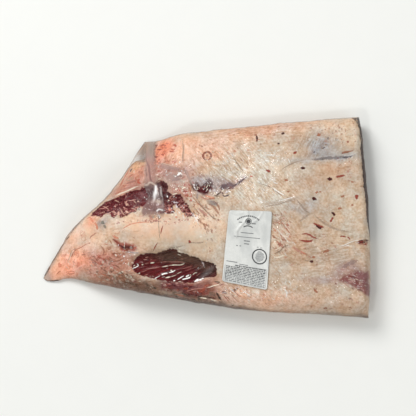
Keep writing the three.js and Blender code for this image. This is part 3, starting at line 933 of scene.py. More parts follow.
# Flutes of the lean: paths of their crests.
FLUTES = [path_of(row) for row in table_rows("""
-62,-63 -48,-65 -28,-66 -9,-67
-98,-69 -77,-67 -64,-66 -52,-66
-90,-82 -77,-76 -58,-73 -42,-70 -28,-67 -15,-70
-71,-92 -63,-87 -56,-83 -48,-80 -38,-78 -27,-74 -16,-71
-57,-91 -48,-87 -38,-83 -29,-80 -18,-75 -8,-70
-43,-93 -34,-89 -24,-84 -13,-80 -1,-73
-29,-93 -22,-89 -14,-85 -3,-80 7,-75
-14,-94 -7,-91 1,-87 13,-82
""")]
FLUTE_HALF, FLUTE_RISE = 2, 1.5

# Creases of the film: half width, rise, path.
CREASES = crease_rows("""
1.6 1.1 80,9 91,12 102,15 116,19 127,23
3 .7 125,23 136,12 148,3 168,-13 187,-21 206,-24
1.6 .7 148,2 139,-3 129,-11
1.8 .7 100,-2 111,-17 123,-32 136,-48
3 1 92,-55 101,-54 108,-49 116,-42
1.4 .9 34,88 41,77 49,65 56,57
1.6 1 -24,62 -19,48 -14,33 -9,22
2.2 1.2 -58,70 -47,67 -35,63
1.3 .7 -30,100 -30,82 -31,64 -25,61
1.7 1.2 91,38 99,34 110,26 118,20
1.6 1.1 187,-56 201,-53 216,-47 226,-42
1.8 1.2 -24,-106 -7,-101 8,-100 22,-96 28,-92
1.8 1.1 -9,-114 5,-116 20,-119
2 .7 132,-65 157,-65 187,-66
2.2 .9 -167,-80 -133,-89 -89,-96
1.8 .8 83,-115 102,-108 121,-101
1.4 .8 -201,-66 -190,-51 -177,-43 -163,-38 -150,-31
1.4 .9 -4,-65 3,-71 5,-78
""")
# Where the film is crinkled most: centre, radii, turn, strength.
CRINKLED = [
    ((60, 58), (50, 40), 0, 1), ((10, 62), (36, 26), 0, 0.6), ((-52, 26), (16, 22), 0, 0.3),
    ((8, 35), (30, 14), 0, 0.6), ((-100, -66), (30, 16), 0, 0.9),
    ((110, -100), (46, 24), 0, 0.8), ((200, -96), (34, 26), 0, 0.9), ((-14, -6), (16, 10), 0, 0.6),
    ((96, -10), (20, 40), 0, 0.6), ((20, -110), (34, 12), 0, 0.7), ((202, 78), (26, 8), 0, 0.4),
]

# Random glints of the film, painted on as white and bone highlights, in rows like those of the flecks.
LOOSE_GLINTS = """
130 36,66 40,26 0 -48 9 3,9 .35,.75 white,bone .4,.9
90 80,38 36,20 0 -38 14 3,9 .35,.75 white,bone .4,.9
24 92,80 24,12 0 -5 10 3,8 .4,.7 white .3,.7
20 -118,-52 22,18 0 0 60 1.5,5 .3,.6 white,bone .4,.8
70 54,-106 40,12 0 -45 20 2,7 .3,.6 white,bone .4,.8
34 112,-34 18,30 0 -55 15 2,7 .3,.6 white,bone .4,.8
36 116,-104 18,14 0 70 30 2,6 .3,.6 white,bone .4,.9
6 -40,14 18,14 0 0 60 1.5,5 .3,.6 white .5,.9
24 -38,0 44,7 0 -60 30 1.5,5 .4,.8 white,bone .4,.8
13 16,36 26,10 0 48 12 2,6 .3,.6 white .4,.9
46 206,-92 24,16 0 -28 14 2,7 .3,.5 white,bone .4,.8
24 200,-44 28,10 0 10 10 4,10 .3,.6 white,bone .3,.7
10 -46,62 24,14 0 20 30 2,6 .3,.6 white .4,.8
6 -40,-80 50,14 0 28 10 2,7 .25,.5 white .3,.7
50 -100,-84 50,10 -14 -20 25 2,5 .3,.5 bone .3,.7
70 70,0 150,110 0 -30 50 1.5,5 .3,.5 white,bone .15,.5
"""
# Glints and other marks on the film's creases, in rows like those of BEEF_MARKS. The white and bone strokes are
# painted highlights; the gap, umber and shadow lines are painted shade along the rims, the creases and the crumpled
# far corner.
FILM_MARKS = """
white .9 .9 92,39 102,32 114,25
white 1.1 .8 76,49 80,48
white .9 .6 83,84 91,84 99,83
white 1.1 .9 83,76 90,75
white .7 .9 115,80 119,70
white .6 .5 121,84 124,77
white 1.6 .7 52,65 59,61
white 1 .9 77,20 80,16 82,18
white .7 .7 98,17 111,21 126,25
white .8 .6 183,-44 194,-41 205,-36 217,-34
white .7 .7 193,-43 201,-41
white .7 .5 98,-16 105,-25 114,-35 121,-43
white .8 .5 33,-99 39,-105 46,-110
white .8 .6 50,-101 58,-108 66,-112
white 1 .7 110,-100 114,-108 113,-115
white .9 .6 116,-91 121,-96
white .9 .7 -19,3 -13,-3 -9,-10 -6,-17
white .9 .8 -64,-1 -60,-4 -61,-8
white .8 .7 -43,4 -38,-1
white .8 .9 -83,24 -82,22
white .7 .8 -80,21 -79,20
rose .6 .75 -48,20 -47,23 -44,25 -41,25
rose .6 .65 -46,18 -44,21 -41,22
rose .5 .55 -44,17 -42,20 -39,21
bone .8 .95 -45,26 -42,27 -38,28 -35,29
white 1 .95 -51,26 -50,22
bone 1 .8 -50,19 -47,18
lilac_white .8 .85 -43,14 -41,16 -38,15 -34,16
lilac_white 1.5 .85 -38,14 -38,11 -36,7
white .8 .9 -28,9 -27,8
white 1.3 .9 -10,-7 -8,-4
plum 1.3 .35 -6,-5 -7,-12
bone 1.3 .9 -40,33 -36,35
bone 1.1 .9 -31,34 -27,36 -24,36
bone .7 .6 -25,35 -20,34
white 1.5 1 -38,53 -35,55 -31,58
white 1.1 .9 -41,51 -38,53
white .7 .9 -32,59 -30,60
white .7 .8 -31,57 -31,53
white .7 .7 -37,57 -34,58
veil 1.5 .65 -68,75 -56,68 -46,65 -36,63 -28,64
bone .5 .5 -66,75 -55,70 -45,67 -35,65
gap .6 .5 -30,102 -29,89 -29,78 -29,66
bone .5 .4 -29,100 -28,89 -28,78
veil 1.7 .75 -28,64 -24,58 -21,50 -19,43
umber .7 .8 -18,45 -16,39 -14,34 -10,31
gap .7 .7 -10,30 -9,21 -5,14 2,6 10,-3 19,-8 27,-11
bone .8 .7 12,-2 20,-6 29,-9
white 1.1 1 -15,41 -13,40
white 1 1 -14,38 -12,35
white .7 .9 -12,35 -10,33
bone .7 .8 -10,36 -8,33
bone .6 .7 -11,38 -7,36
rose .7 .7 -7,38 -6,34
bone .6 .95 2,35 4,38 6,42
bone .6 .9 3,32 6,36
white .8 .9 8,44 10,43
bone .5 .8 7,38 8,41
white 1.3 .9 8,33 9,31
bone 1.1 .8 9,29 12,27
white 1.3 1 17,31 18,28
bone 1.3 .9 14,31 16,26
lilac_white 1.7 .7 11,33 17,32
bone 1.3 .8 24,32 27,32
lilac_white 1.7 .8 28,28 32,31 35,32
white 1.1 .95 33,32 36,31 38,30
white .8 1 -101,-75 -97,-74 -93,-72 -91,-70 -94,-68
bone .8 .8 -99,-72 -95,-70
bone .7 .8 -101,-66 -98,-68
rose .7 .7 -85,-63 -78,-62
rose .7 .7 -82,-60 -77,-59
bone 1.1 .8 -75,-68 -72,-67 -68,-67
bone 1 .9 -87,-70 -84,-69
rose .6 .5 -84,-69 -75,-67
rose .6 .5 -68,-67 -58,-66 -40,-66 -30,-66 -23,-68 -19,-69
bone .7 .8 -59,-73 -54,-72 -48,-71
bone .8 .9 -49,-71 -40,-70 -33,-70 -27,-68 -31,-67
rose .6 .6 -81,-77 -75,-75 -68,-74 -60,-73
rose .5 .5 -88,-80 -82,-78 -77,-76
bone .8 .8 -91,-83 -89,-80
rose .7 .6 -84,-85 -79,-83 -77,-82
white .6 .8 -70,-91 -67,-88 -63,-86 -60,-84
white 1.4 1 -60,-84 -55,-82 -49,-81
white 1.1 1 -50,-81 -46,-80 -43,-79 -39,-77
bone 1 .8 -47,-78 -44,-77
bone 1 .9 -55,-88 -50,-87 -45,-86
bone .6 .8 -46,-86 -42,-85 -37,-83
bone .6 .6 -38,-83 -35,-81 -30,-79
white 1.1 1 -43,-92 -39,-91
white .7 .95 -39,-91 -35,-89 -32,-87 -26,-84
white 1.5 1 -26,-86 -23,-85 -20,-83
white 1.3 1 -32,-90 -27,-89 -23,-88 -20,-87 -18,-84
bone .7 .9 -19,-82 -18,-85
bone .7 .8 -16,-84 -13,-81 -9,-80
bone .6 .7 -36,-93 -31,-92
white 2 1 -14,-93 -10,-91 -6,-89
white 1.4 1 -7,-91 -3,-89
white 1.1 .9 -4,-89 0,-88
rose .6 .5 -12,-86 -4,-80
rose .6 .45 -26,-78 -17,-75 -8,-72
rose .5 .4 -34,-76 -25,-74 -16,-71
lilac 1.4 .6 -4,-64 -1,-68 0,-73
bone 1.4 .9 -35,-50 -32,-53
bone .8 .8 -40,-46 -37,-47
bone 1 .9 -35,-48 -31,-48
rose .7 .85 -29,-107 -21,-105 -13,-103 -4,-102 3,-101
bone .8 .95 2,-101 8,-100 14,-98 19,-97 24,-95
bone 1 .95 -7,-114 -1,-115 5,-116
bone .8 .95 7,-116 13,-118 18,-119
rose_light .8 .7 16,-103 19,-106 22,-111
white 1.3 .9 -112,-59 -109,-58
bone 1.1 .8 -104,-66 -105,-71
bone 1 .8 -104,-78 -102,-78
bone 1 .8 -115,-79 -111,-80
umber 1 .9 -233,-86 -230,-88 -227,-90 -221,-90 -213,-89 -208,-88
umber .7 .75 -232,-84 -229,-79 -225,-72 -223,-68
shadow .8 .7 -223,-68 -219,-61 -213,-52 -207,-43 -200,-34
shadow 1.1 .75 -200,-33 -193,-27
shadow .7 .6 -193,-26 -188,-18 -182,-12 -177,-7
terracotta .6 .8 -192,-63 -191,-57 -189,-52 -184,-47 -179,-45 -174,-43 -168,-40 -162,-38
gap .6 .6 -199,-69 -196,-61 -193,-55 -191,-49 -187,-46 -181,-43
bone .7 .55 -195,-64 -193,-57 -189,-50 -185,-47
shadow 1 .75 94,-55 101,-52 105,-50 109,-45 114,-43 119,-43
bone 1.4 .75 94,-59 101,-59 108,-57 113,-55
bone .8 .7 96,-50 102,-47 108,-43
umber .6 .4 138,-62 143,-63 147,-63
umber 3 .9 207,137.5 211.5,137 214,134 215.5,128 217,120
shadow 1.2 .8 206,134 210,132 212,127
umber .9 .9 203,137.6 207,135.5 210,134
umber 1.4 .8 206,137 211,136
grey_fat .8 .6 209,133 213,126
shadow 1.6 .7 213,114 217,106 219,98
rust 1.2 .6 187,86 194,88 202,89 208,91
bone .9 .8 -36,105 -33,105
"""
LABEL_CORNERS = [(25, -92), (87, -104), (94, 4), (35, 5.5)]  # near pointed side, near, far, far pointed side


def fine_relief(x, y):
    """Lumps of the fat and flutes of the lean, which the film follows."""
    rise = 0.55 * noise(x, y, 13, 11) + 0.3 * noise(x, y, 6, 12)
    on_flutes = ramp(inward(x, y, FLUTED), -3, 3)
    for path in FLUTES:
        rise += on_flutes * FLUTE_RISE * ridge(x, y, spline(path, 6), FLUTE_HALF)
    on_marbled = ramp(inward(x, y, MARBLED), -2, 4)
    return rise * (1 - 0.8 * under_label(x, y)) + 0.35 * on_marbled * noise(x, y, 3.4, 13)


def under_label(x, y):
    """1 under the label, falling to 0 just outside it."""
    return ramp(inward(x, y, LABEL_CORNERS), -6, 0)


def crinkle(x, y):
    """How crinkled the film is, from 0 to 1."""
    strength = 0.28 + sum(share * oval(x, y, at, radii, turn) for at, radii, turn, share in CRINKLED)
    return np.clip(strength, 0, 1) * (1 - under_label(x, y))


def film_creases(x, y):
    rise = np.zeros(np.shape(x))
    for path, half, height in CREASES:
        rise += height * ridge(x, y, spline(path, 8), half)
    facets = np.abs(noise(x + 0.6 * y, y, 11, 14)) + 0.6 * np.abs(noise(x, y - 0.5 * x, 6, 15))
    return (rise - 0.9 * crinkle(x, y) * facets) * (1 - under_label(x, y))


class Marks:
    """Thin marks draped over a skin from above. Each is a strip, widest in its middle, that fades at its sides."""

    ACROSS = np.array([-1, -0.5, 0.5, 1])
    STEP = 1.3  # between the rows of a strip
    OVERHEAD = 200  # where the rays that find the skin start

    def __init__(self, points, faces, seed, lift):
        self.tree = BVHTree.FromPolygons(points.tolist(), faces)
        self.rng = np.random.default_rng(seed)
        self.lift = lift
        self.points, self.faces, self.tones, self.covers, self.strengths = [], [], [], [], []

    def on_skin(self, x, y):
        hit = self.tree.ray_cast(Vector((x, y, self.OVERHEAD)), Vector((0, 0, -1)))[0]
        return hit and (x, y, hit.z + self.lift)

    def add(self, path, half, colour, strength):
        path = spline(path, 8)
        long = np.hypot(*np.diff(path, axis=0).T).sum()
        t = np.linspace(0, 1, max(5, int(long / self.STEP)) + 1)
        middle = along_path(path, t)
        ahead = np.gradient(middle, axis=0)
        ahead /= np.maximum(np.hypot(*ahead.T), 1e-9)[:, None]
        aside = np.stack([-ahead[:, 1], ahead[:, 0]], -1)
        wide = half * np.sin(math.pi * t) ** 0.5 * self.rng.uniform(0.7, 1.25, len(t))
        draped = []
        for at, over in zip(middle, aside * wide[:, None]):
            inner = self.on_skin(*at)
            if inner is None:
                return
            draped += [self.on_skin(*(at + over * share)) or inner for share in self.ACROSS]
        self.faces += sheet_faces(len(t), 4, sum(map(len, self.points)))
        self.points.append(np.array(draped))
        cover = np.outer(np.minimum(1, 4 * np.minimum(t, 1 - t)), [0, 1, 1, 0])
        self.covers.append(cover.ravel())
        self.strengths.append(np.full(cover.size, strength))
        self.tones.append(np.tile(linear(colour), (cover.size, 1)))

    def draw(self, table):
        """The marks of a table: colour, half width, strength and path in each line."""
        for colour, half, strength, path in mark_rows(table):
            self.add(path, half, colour, strength)

    def scatter(self, table, allowed):
        """Random short marks in oval zones, where allowed holds at their middle."""
        for count, at, radii, turn, heading, spread, longs, halves, colours, strengths in fleck_rows(table):
            angle = math.radians(turn)
            u, v = self.rng.normal(0, 0.5, (2, count)) * np.array(radii)[:, None]
            x = at[0] + u * math.cos(angle) - v * math.sin(angle)
            y = at[1] + u * math.sin(angle) + v * math.cos(angle)
            for centre in np.stack([x, y], -1)[allowed(x, y)]:
                course = math.radians(heading + self.rng.normal(0, spread))
                ahead = np.array([math.cos(course), math.sin(course)]) * self.rng.uniform(*longs) / 2
                bend = np.array([-ahead[1], ahead[0]]) * self.rng.normal(0, 0.25)
                path = [centre - ahead, centre + bend, centre + ahead]
                colour = str(self.rng.choice(colours))
                self.add(path, self.rng.uniform(*halves), colour, self.rng.uniform(*strengths))

    def piece(self, name, material):
        made_piece = made(name, np.concatenate(self.points), self.faces, material)
        add_colours(made_piece, "tone", np.concatenate(self.tones))
        add_values(made_piece, "cover", np.concatenate(self.covers))
        add_values(made_piece, "strength", np.concatenate(self.strengths))
        return made_piece


# ------------------------------------------------------------------ materials


class Nodes:
    """A material's node tree, with a short way to add and link nodes."""

    def __init__(self, name):
        self.material = bpy.data.materials.new(name)
        self.material.use_nodes = True
        self.tree = self.material.node_tree
        self.tree.nodes.clear()

    def add(self, kind, settings=None, **inputs):
        """A node of the kind; settings are its own properties, inputs its sockets by name or number."""
        node = self.tree.nodes.new("ShaderNode" + kind)
        for key, value in (settings or {}).items():
            setattr(node, key, value)
        for key, value in inputs.items():
            socket = node.inputs[int(key[1:]) if key[1:].isdigit() else key.replace("_", " ")]
            if isinstance(value, bpy.types.NodeSocket):
                self.tree.links.new(value, socket)
            else:
                socket.default_value = value
        return node

    def finish(self, shader):
        self.add("OutputMaterial", Surface=shader)
        return self.material

    def maths(self, operation, a, b=0.0, c=0.0):
        return self.add("Math", {"operation": operation}, i0=a, i1=b, i2=c).outputs[0]

    def blend(self, factor, a, b, how="MIX"):
        settings = {"data_type": "RGBA", "blend_type": how}
        return self.add("Mix", settings, i0=factor, i6=a, i7=b).outputs[2]

    def times(self, colour, share):
        return self.blend(1.0, colour, (*share, 1), "MULTIPLY")

    def ramp(self, value, low, high, to_low=0.0, to_high=1.0):
        settings = {"interpolation_type": "SMOOTHSTEP"}
        return self.add("MapRange", settings, i0=value, i1=low, i2=high, i3=to_low, i4=to_high).outputs[0]

    def value(self, name):
        return self.add("Attribute", {"attribute_name": name}).outputs["Fac"]

    def colour(self, name):
        return self.add("Attribute", {"attribute_name": name}).outputs["Color"]

    def at(self, scale=(1, 1, 1), turn=0.0):
        """Coordinates in millimetres, turned about the vertical and then divided by a length for each axis."""
        place = self.add("TexCoord").outputs["Object"]
        turned = self.add("Mapping", i1=(0, 0, 0), i0=place, i2=(0, 0, math.radians(-turn))).outputs[0]
        stretch = tuple(1 / MM / s for s in scale)
        return self.add("VectorMath", {"operation": "MULTIPLY"}, i0=turned, i1=stretch).outputs[0]

    def noise(self, size, detail=3.0, stretch=(1, 1, 1), turn=0.0, distortion=0.0):
        """Noise from 0 to 1 whose lumps are size millimetres across, times stretch along the turned axes."""
        vector = self.at(tuple(size * s for s in stretch), turn)
        return self.add("TexNoise", i0=vector, Scale=1.0, Detail=detail, Distortion=distortion).outputs[0]

    def cells(self, size, scale, turn, bend):
        """Distance to the sides of cells of the given scale, bent by noise of the given size."""
        by = self.add("TexNoise", i0=self.at((size, size, size)), Scale=1.0, Detail=2.0).outputs[1]
        settings = {"operation": "MULTIPLY_ADD"}
        bent = self.add("VectorMath", settings, i0=by, i1=(bend,) * 3, i2=self.at(scale, turn)).outputs[0]
        return self.add("TexVoronoi", {"feature": "DISTANCE_TO_EDGE"}, i0=bent, Scale=1.0).outputs[0]

    def bump(self, strength, distance, height):
        return self.add("Bump", Strength=strength, Distance=distance * MM, Height=height).outputs[0]


def colour4(name):
    return (*linear(name), 1)


def beef_material():
    n = Nodes("beef")
    tone, lean_tone, grain = n.colour("tone"), n.colour("lean_tone"), n.colour("grain")
    lean, marbling, whorl, calm = (n.value(name) for name in ("lean", "marbling", "whorl", "calm"))

    # Fat: lumps and crumbs, grain along three headings, less of it where the fat is smooth, patches that lean to
    # grey or to peach, thin darker lines between the crumbs, and whorls.
    lumps = n.noise(9, 3)
    crumbs = n.noise(3, 3)
    run = n.add("SeparateXYZ", i0=grain).outputs
    streaks = n.maths("MULTIPLY_ADD", crumbs, 0.8, n.maths("MULTIPLY", lumps, 0.7))
    for axis, heading in enumerate(GRAIN_HEADINGS):
        strand = n.maths("SUBTRACT", n.noise(1.8, 3, (6, 1, 2), heading, 0.3), 0.5)
        streaks = n.maths("ADD", streaks, n.maths("MULTIPLY", n.maths("MULTIPLY", strand, 2.1), run[axis]))
    streaks = n.maths("MULTIPLY_ADD", n.maths("SUBTRACT", streaks, 0.78), n.ramp(calm, 0, 1, 1, 0.3), 0.78)
    patches = n.noise(24, 3)
    fat = n.blend(n.ramp(patches, 0.36, 0.64), n.times(tone, (1.03, 0.95, 0.89)), n.times(tone, (0.98, 1.03, 1.09)))
    fat = n.blend(n.ramp(streaks, 0.45, 1.05), n.times(fat, (0.79, 0.7, 0.63)), n.times(fat, (1.17, 1.24, 1.32)))
    curds = n.cells(6, (4.6, 3.4, 4), -20, 1.6)
    seams = n.maths("MULTIPLY", n.ramp(curds, 0, 0.16, 1, 0), n.ramp(n.noise(18, 2), 0.4, 0.62, 0, 0.5))
    seams = n.maths("MULTIPLY", seams, n.ramp(calm, 0, 1, 1, 0.2))
    fat = n.blend(seams, fat, n.times(fat, (0.86, 0.66, 0.56)))
    rings = n.maths("SINE", n.maths("MULTIPLY", n.noise(16, 2, (1.4, 1, 1), -15, 0.8), 44.0))
    fat = n.blend(n.maths("MULTIPLY", n.ramp(rings, 0.1, 0.95, 0, 0.6), whorl), fat, n.times(fat, (0.8, 0.58, 0.48)))
    fat = n.blend(n.maths("MULTIPLY", n.ramp(rings, -0.3, -0.95, 0, 0.5), whorl), fat, n.times(fat, (1.2, 1.3, 1.35)))

    # Lean: dark fibres, with a network of white fat where it is marbled.
    fibres = n.noise(1.7, 3, (9, 1, 1), 18)
    muscle = n.blend(n.ramp(fibres, 0.35, 0.7), n.times(lean_tone, (0.55, 0.4, 0.42)),
                     n.times(lean_tone, (1.35, 1.15, 1.15)))
    cells = n.cells(4, (5.6, 3.6, 4), 20, 1.5)
    thickness = n.maths("MULTIPLY", n.ramp(n.noise(9, 2), 0.4, 0.7, 0, 0.22), marbling)
    veins = n.maths("SUBTRACT", 1.0, n.ramp(n.maths("SUBTRACT", cells, thickness), -0.02, 0.04))
    veins = n.maths("MULTIPLY", veins, n.ramp(marbling, 0.05, 0.5))
    muscle = n.blend(n.maths("MULTIPLY", veins, 0.65), muscle, colour4("marbling"))
    flecked = n.maths("MULTIPLY_ADD", n.ramp(marbling, 0, 1), 0.17, n.noise(2.6, 2, (2, 1, 1), 28, 0.9))
    muscle = n.blend(n.ramp(flecked, 0.7, 0.76, 0, 0.85), muscle, colour4("marbling_fleck"))
    ragged = n.maths("ADD", lean, n.ramp(n.noise(2.4, 2), 0.2, 0.8, -1.0, 1.0))
    skin = n.blend(n.ramp(ragged, -0.5, 0.6), fat, muscle)

    is_lean = n.ramp(lean, -1, 1)
    height = n.maths("MULTIPLY_ADD", n.maths("MULTIPLY", fibres, is_lean), 0.8, n.maths("MULTIPLY", streaks, 0.8))
    bump = n.bump(0.6, 0.7, height)
    shader = n.add("BsdfPrincipled", Base_Color=skin, Roughness=0.55, Normal=bump, Specular_IOR_Level=0.06,
                   Subsurface_Weight=0.06, Subsurface_Radius=(0.003, 0.0012, 0.0007), Subsurface_Scale=1.0)
    return n.finish(shader.outputs[0])


def mark_material(name, roughness):
    """Marks that fade into what they lie on, with ragged sides. Some are painted highlights and painted shade."""
    n = Nodes(name)
    edge = n.maths("ADD", n.value("cover"), n.ramp(n.noise(1.3, 2), 0.25, 0.75, -0.35, 0.35))
    alpha = n.maths("MULTIPLY", n.ramp(edge, 0.1, 0.8), n.value("strength"))
    paint = n.add("BsdfPrincipled", Base_Color=n.colour("tone"), Roughness=roughness, Specular_IOR_Level=0.15)
    through = n.add("BsdfTransparent").outputs[0]
    return n.finish(n.add("MixShader", i0=alpha, i1=through, i2=paint.outputs[0]).outputs[0])


def film_material():
    """Clear film: what is behind it shows, bent creases mirror the lamps, and folded film is hazy."""
    n = Nodes("clear_film")
    crinkled, haze = n.value("crinkle"), n.value("haze")
    facets = n.cells(9, (7, 11, 9), -38, 1.1)
    pleats = n.noise(3.2, 2, (5, 1, 2), -48, 0.4)
    height = n.maths("MULTIPLY_ADD", pleats, 0.9, n.ramp(facets, 0, 0.22))
    height = n.maths("MULTIPLY_ADD", n.noise(1.6, 2), 0.22, height)
    bump = n.bump(n.ramp(crinkled, 0, 1, 0.12, 0.8), 0.5, height)
    mirror = n.add("BsdfGlossy", Color=(1, 1, 1, 1), Roughness=0.12, Normal=bump).outputs[0]
    clear = n.add("BsdfTransparent", Color=(0.99, 0.99, 0.99, 1)).outputs[0]
    grazing = n.add("LayerWeight", Blend=0.5, Normal=bump).outputs["Facing"]
    mirrored = n.maths("MULTIPLY_ADD", n.maths("POWER", grazing, 5.0), 0.4, 0.024)
    mirrored = n.maths("MULTIPLY", mirrored, n.ramp(crinkled, 0, 1, 0.2, 1.1))
    milky = n.add("BsdfDiffuse", Color=n.colour("haze_tone"), Normal=bump).outputs[0]
    body = n.add("MixShader", i0=haze, i1=clear, i2=milky).outputs[0]
    return n.finish(n.add("MixShader", i0=mirrored, i1=body, i2=mirror).outputs[0])


def paper_material():
    n = Nodes("label_paper")
    grain = n.noise(1.4, 4)
    soft = n.noise(16, 3, (1, 2.2, 1), 10)
    colour = n.blend(n.ramp(grain, 0.3, 0.7), colour4("paper"), colour4("paper_light"))
    colour = n.blend(n.ramp(soft, 0.4, 0.65, 0, 0.8), colour, colour4("paper_dull"))
    height = n.maths("MULTIPLY_ADD", grain, 0.1, n.noise(6, 3, (1, 2.6, 1), 14))
    bump = n.bump(0.85, 0.9, height)
    shader = n.add("BsdfPrincipled", Base_Color=colour, Roughness=n.ramp(grain, 0.3, 0.7, 0.42, 0.5), Normal=bump)
    return n.finish(shader.outputs[0])


def ink_material():
    n = Nodes("label_ink")
    worn = n.ramp(n.noise(0.9, 3), 0.35, 0.7, 0, 0.12)
    ink = n.blend(n.value("shade"), colour4("ink"), colour4("ink_pale"))
    colour = n.blend(worn, ink, colour4("ink_worn"))
    return n.finish(n.add("BsdfPrincipled", Base_Color=colour, Roughness=0.55).outputs[0])


def floor_material():
    n = Nodes("floor")
    colour = n.blend(n.noise(40, 2), colour4("floor"), colour4("floor_light"))
    return n.finish(n.add("BsdfPrincipled", Base_Color=colour, Roughness=0.9).outputs[0])


# ------------------------------------------------------------------ pieces

BEEF_UNDER_FILM = 0.7  # how far the beef lies under the film, along the normal
# The beef stops short of the bag's empty corners: corner, reach, how far it is drawn in there, and between which x
# that sets in.
DRAWN_IN = [(EAR_CORNER, 24, (3, -20), (-74, -90)), (POINTED_CORNER, 9, (4, 1), (0, -1))]
CELLS = {"along": 334, "across": 200, "turning": 10}
MARK_LIFT = {"beef": 0.07, "film": 0.06}  # how far marks lie over the skin
MARK_SEED = {"beef": 5, "film": 8}
# The square end's dark face is painted shade.
END_SHADE_UNDER = 9  # how far the square end's dark face goes in under the pack
FLAT_BELOW = 2  # the underside is the skin below this height
FAR_FROM_LEAN = -9  # a depth in the lean that stands for no lean
RIM_WAVE_SEED = 51
# The most that the painted shade of the near rim darkens the beef.
RIM_DARKEST = 0.95
MARBLED_LINE = (0.42, 33)  # slope and level of the line below which the pocket of lean is marbled most
CLEAR_HAZE = 0.004  # haze of the plain film


def ovals(x, y, zones):
    return np.clip(sum(share * oval(x, y, at, radii, 0) for at, radii, share in zones), 0, 1)


# The square end's side, painted dark as shade, as it shows from above: how wide it is at each place along the end.
END_SHADE_STRIP = [(-34, 0), (-20, 1.4), (-8, 3), (8, 4.2), (36, 5), (64, 5), (92, 4.2), (112, 3.4), (134, 3.6)]
# Where painted shade darkens the near rim: how strong at each place along it.
NEAR_RIM_SHADE = [(-205, 0.2), (-150, 0.3), (-110, 0.4), (-80, 0.7), (-60, 0.97), (0, 0.97), (50, 0.85), (80, 0.4),
             (150, 0.3), (200, 0.5), (228, 0.8)]


def value_along(table, at):
    """Values between the rows of place and value of a table."""
    return np.interp(at, *np.array(table).T)


def end_face(x, y, under):
    """Distance inside the painted shade of the square end's side, negative outside it."""
    strip = value_along(END_SHADE_STRIP, y)
    away = distance_to_path(x, y, CURVES["square"])
    below = END_SHADE_UNDER + 1.5 * noise(y, y, 8, 61)
    above = strip + 0.3 * noise(y, y, 5, 62)
    ragged = np.where(under, below - away, above - away)
    return np.minimum(ragged, 3 * (strip - 0.6) + 1.5 * noise(x, y, 6, 63))


def rim_shade(points, under):
    """How much painted shade darkens the near rim, from 0 to 1."""
    x, y, z = points.T
    wave = noise(x, y, 9, RIM_WAVE_SEED)
    away = distance_to_path(x, y, CURVES["near"])
    share = value_along(NEAR_RIM_SHADE, x) * ramp(away, 5.5 + 2.5 * wave, 1)
    return share * np.where(under, ramp(z, 4, 17), 1) * (0.86 + 0.3 * noise(x, z, 4, 64))


def pack_skin():
    """The pack's skin, and which of its points belong to the underside and the rims below the edge."""
    points, faces = closed_skin(**CELLS)
    return points, faces, np.arange(len(points)) >= (CELLS["along"] + 1) * (CELLS["across"] + 1)


def beef_skin(points, faces, under):
    x, y = points[:, 0], points[:, 1]
    moved = lifted(points, faces, np.where(under, 0, fine_relief(x, y)) - BEEF_UNDER_FILM)
    for (cx, cy), reach, (dx, dy), sets_in in DRAWN_IN:
        share = np.exp(-((np.hypot(x - cx, y - cy) / reach) ** 2)) * ramp(x, *sets_in)
        moved[:, 0] += dx * share
        moved[:, 1] += dy * share
    return moved


def beef_pieces(points, faces, under):
    moved = beef_skin(points, faces, under)
    x, y = points[:, 0], points[:, 1]
    piece = made("beef", moved, faces, beef_material())
    slope, level = MARBLED_LINE
    lower = ramp(slope * x + level - y, -4, 16)
    marbled = ramp(inward(x, y, MARBLED), -1, 2) * (0.25 + 0.75 * lower)
    under_lean = 26 * (noise(x, y, 95, 21) + 0.35 * noise(x, y, 33, 22) + 0.05)
    # Painted shade: the square end's side, and a band in under it, is drawn as near black lean.
    end = end_face(x, y, under)
    # Painted shade: the near rim and its turned underside are pulled towards a dark brown.
    rim = np.clip(rim_shade(points, under), 0, RIM_DARKEST)
    add_colours(piece, "tone", mix(fat_colours(x, y), linear("rim_shade_brown"), rim[:, None]))
    add_colours(piece, "lean_tone", laid("end_shade", lean_colours(x, y), ramp(end, -1, 0)))
    add_colours(piece, "grain", np.stack([ovals(x, y, zones) for zones in GRAIN], -1))
    lean = np.maximum(np.where(under, FAR_FROM_LEAN, lean_depth(x, y)), end)
    add_values(piece, "lean", np.where(under & (points[:, 2] < FLAT_BELOW), under_lean, lean))
    add_values(piece, "marbling", np.where(under, mix(0.5, 0.2, ramp(end, -1, 0)), marbled))
    add_values(piece, "whorl", ovals(x, y, WHORLS))
    add_values(piece, "calm", ovals(x, y, CALM))

    # The beef's marks, among them painted shade along the near rim and in creases.
    marks = Marks(moved, faces, MARK_SEED["beef"], MARK_LIFT["beef"])
    marks.scatter(FAT_FLECKS, lambda x, y: (lean_depth(x, y) < -1.5) & (under_label(x, y) < 1))
    marks.scatter(LEAN_FLECKS, lambda x, y: lean_depth(x, y) > 0.5)
    marks.draw(BEEF_MARKS)
    streaks = marks.piece("beef_marks", mark_material("beef_marks", 0.6))
    return piece, streaks


def film_height(x, y):
    return top_height(x, y) + fine_relief(x, y) + film_creases(x, y)


# Hazy double film: colour, centre, radii, turn, strength.
HAZY = oval_rows("""
veiled_rose -42,50 15,8 -20 .55
veiled_pink -50,64 20,2.6 -14 .6
veiled_lilac 8,47 22,7 5 .3
veiled_cream 112,20 20,2.4 12 .6
veiled_plum 4,-80 3,12 -50 .3
""")


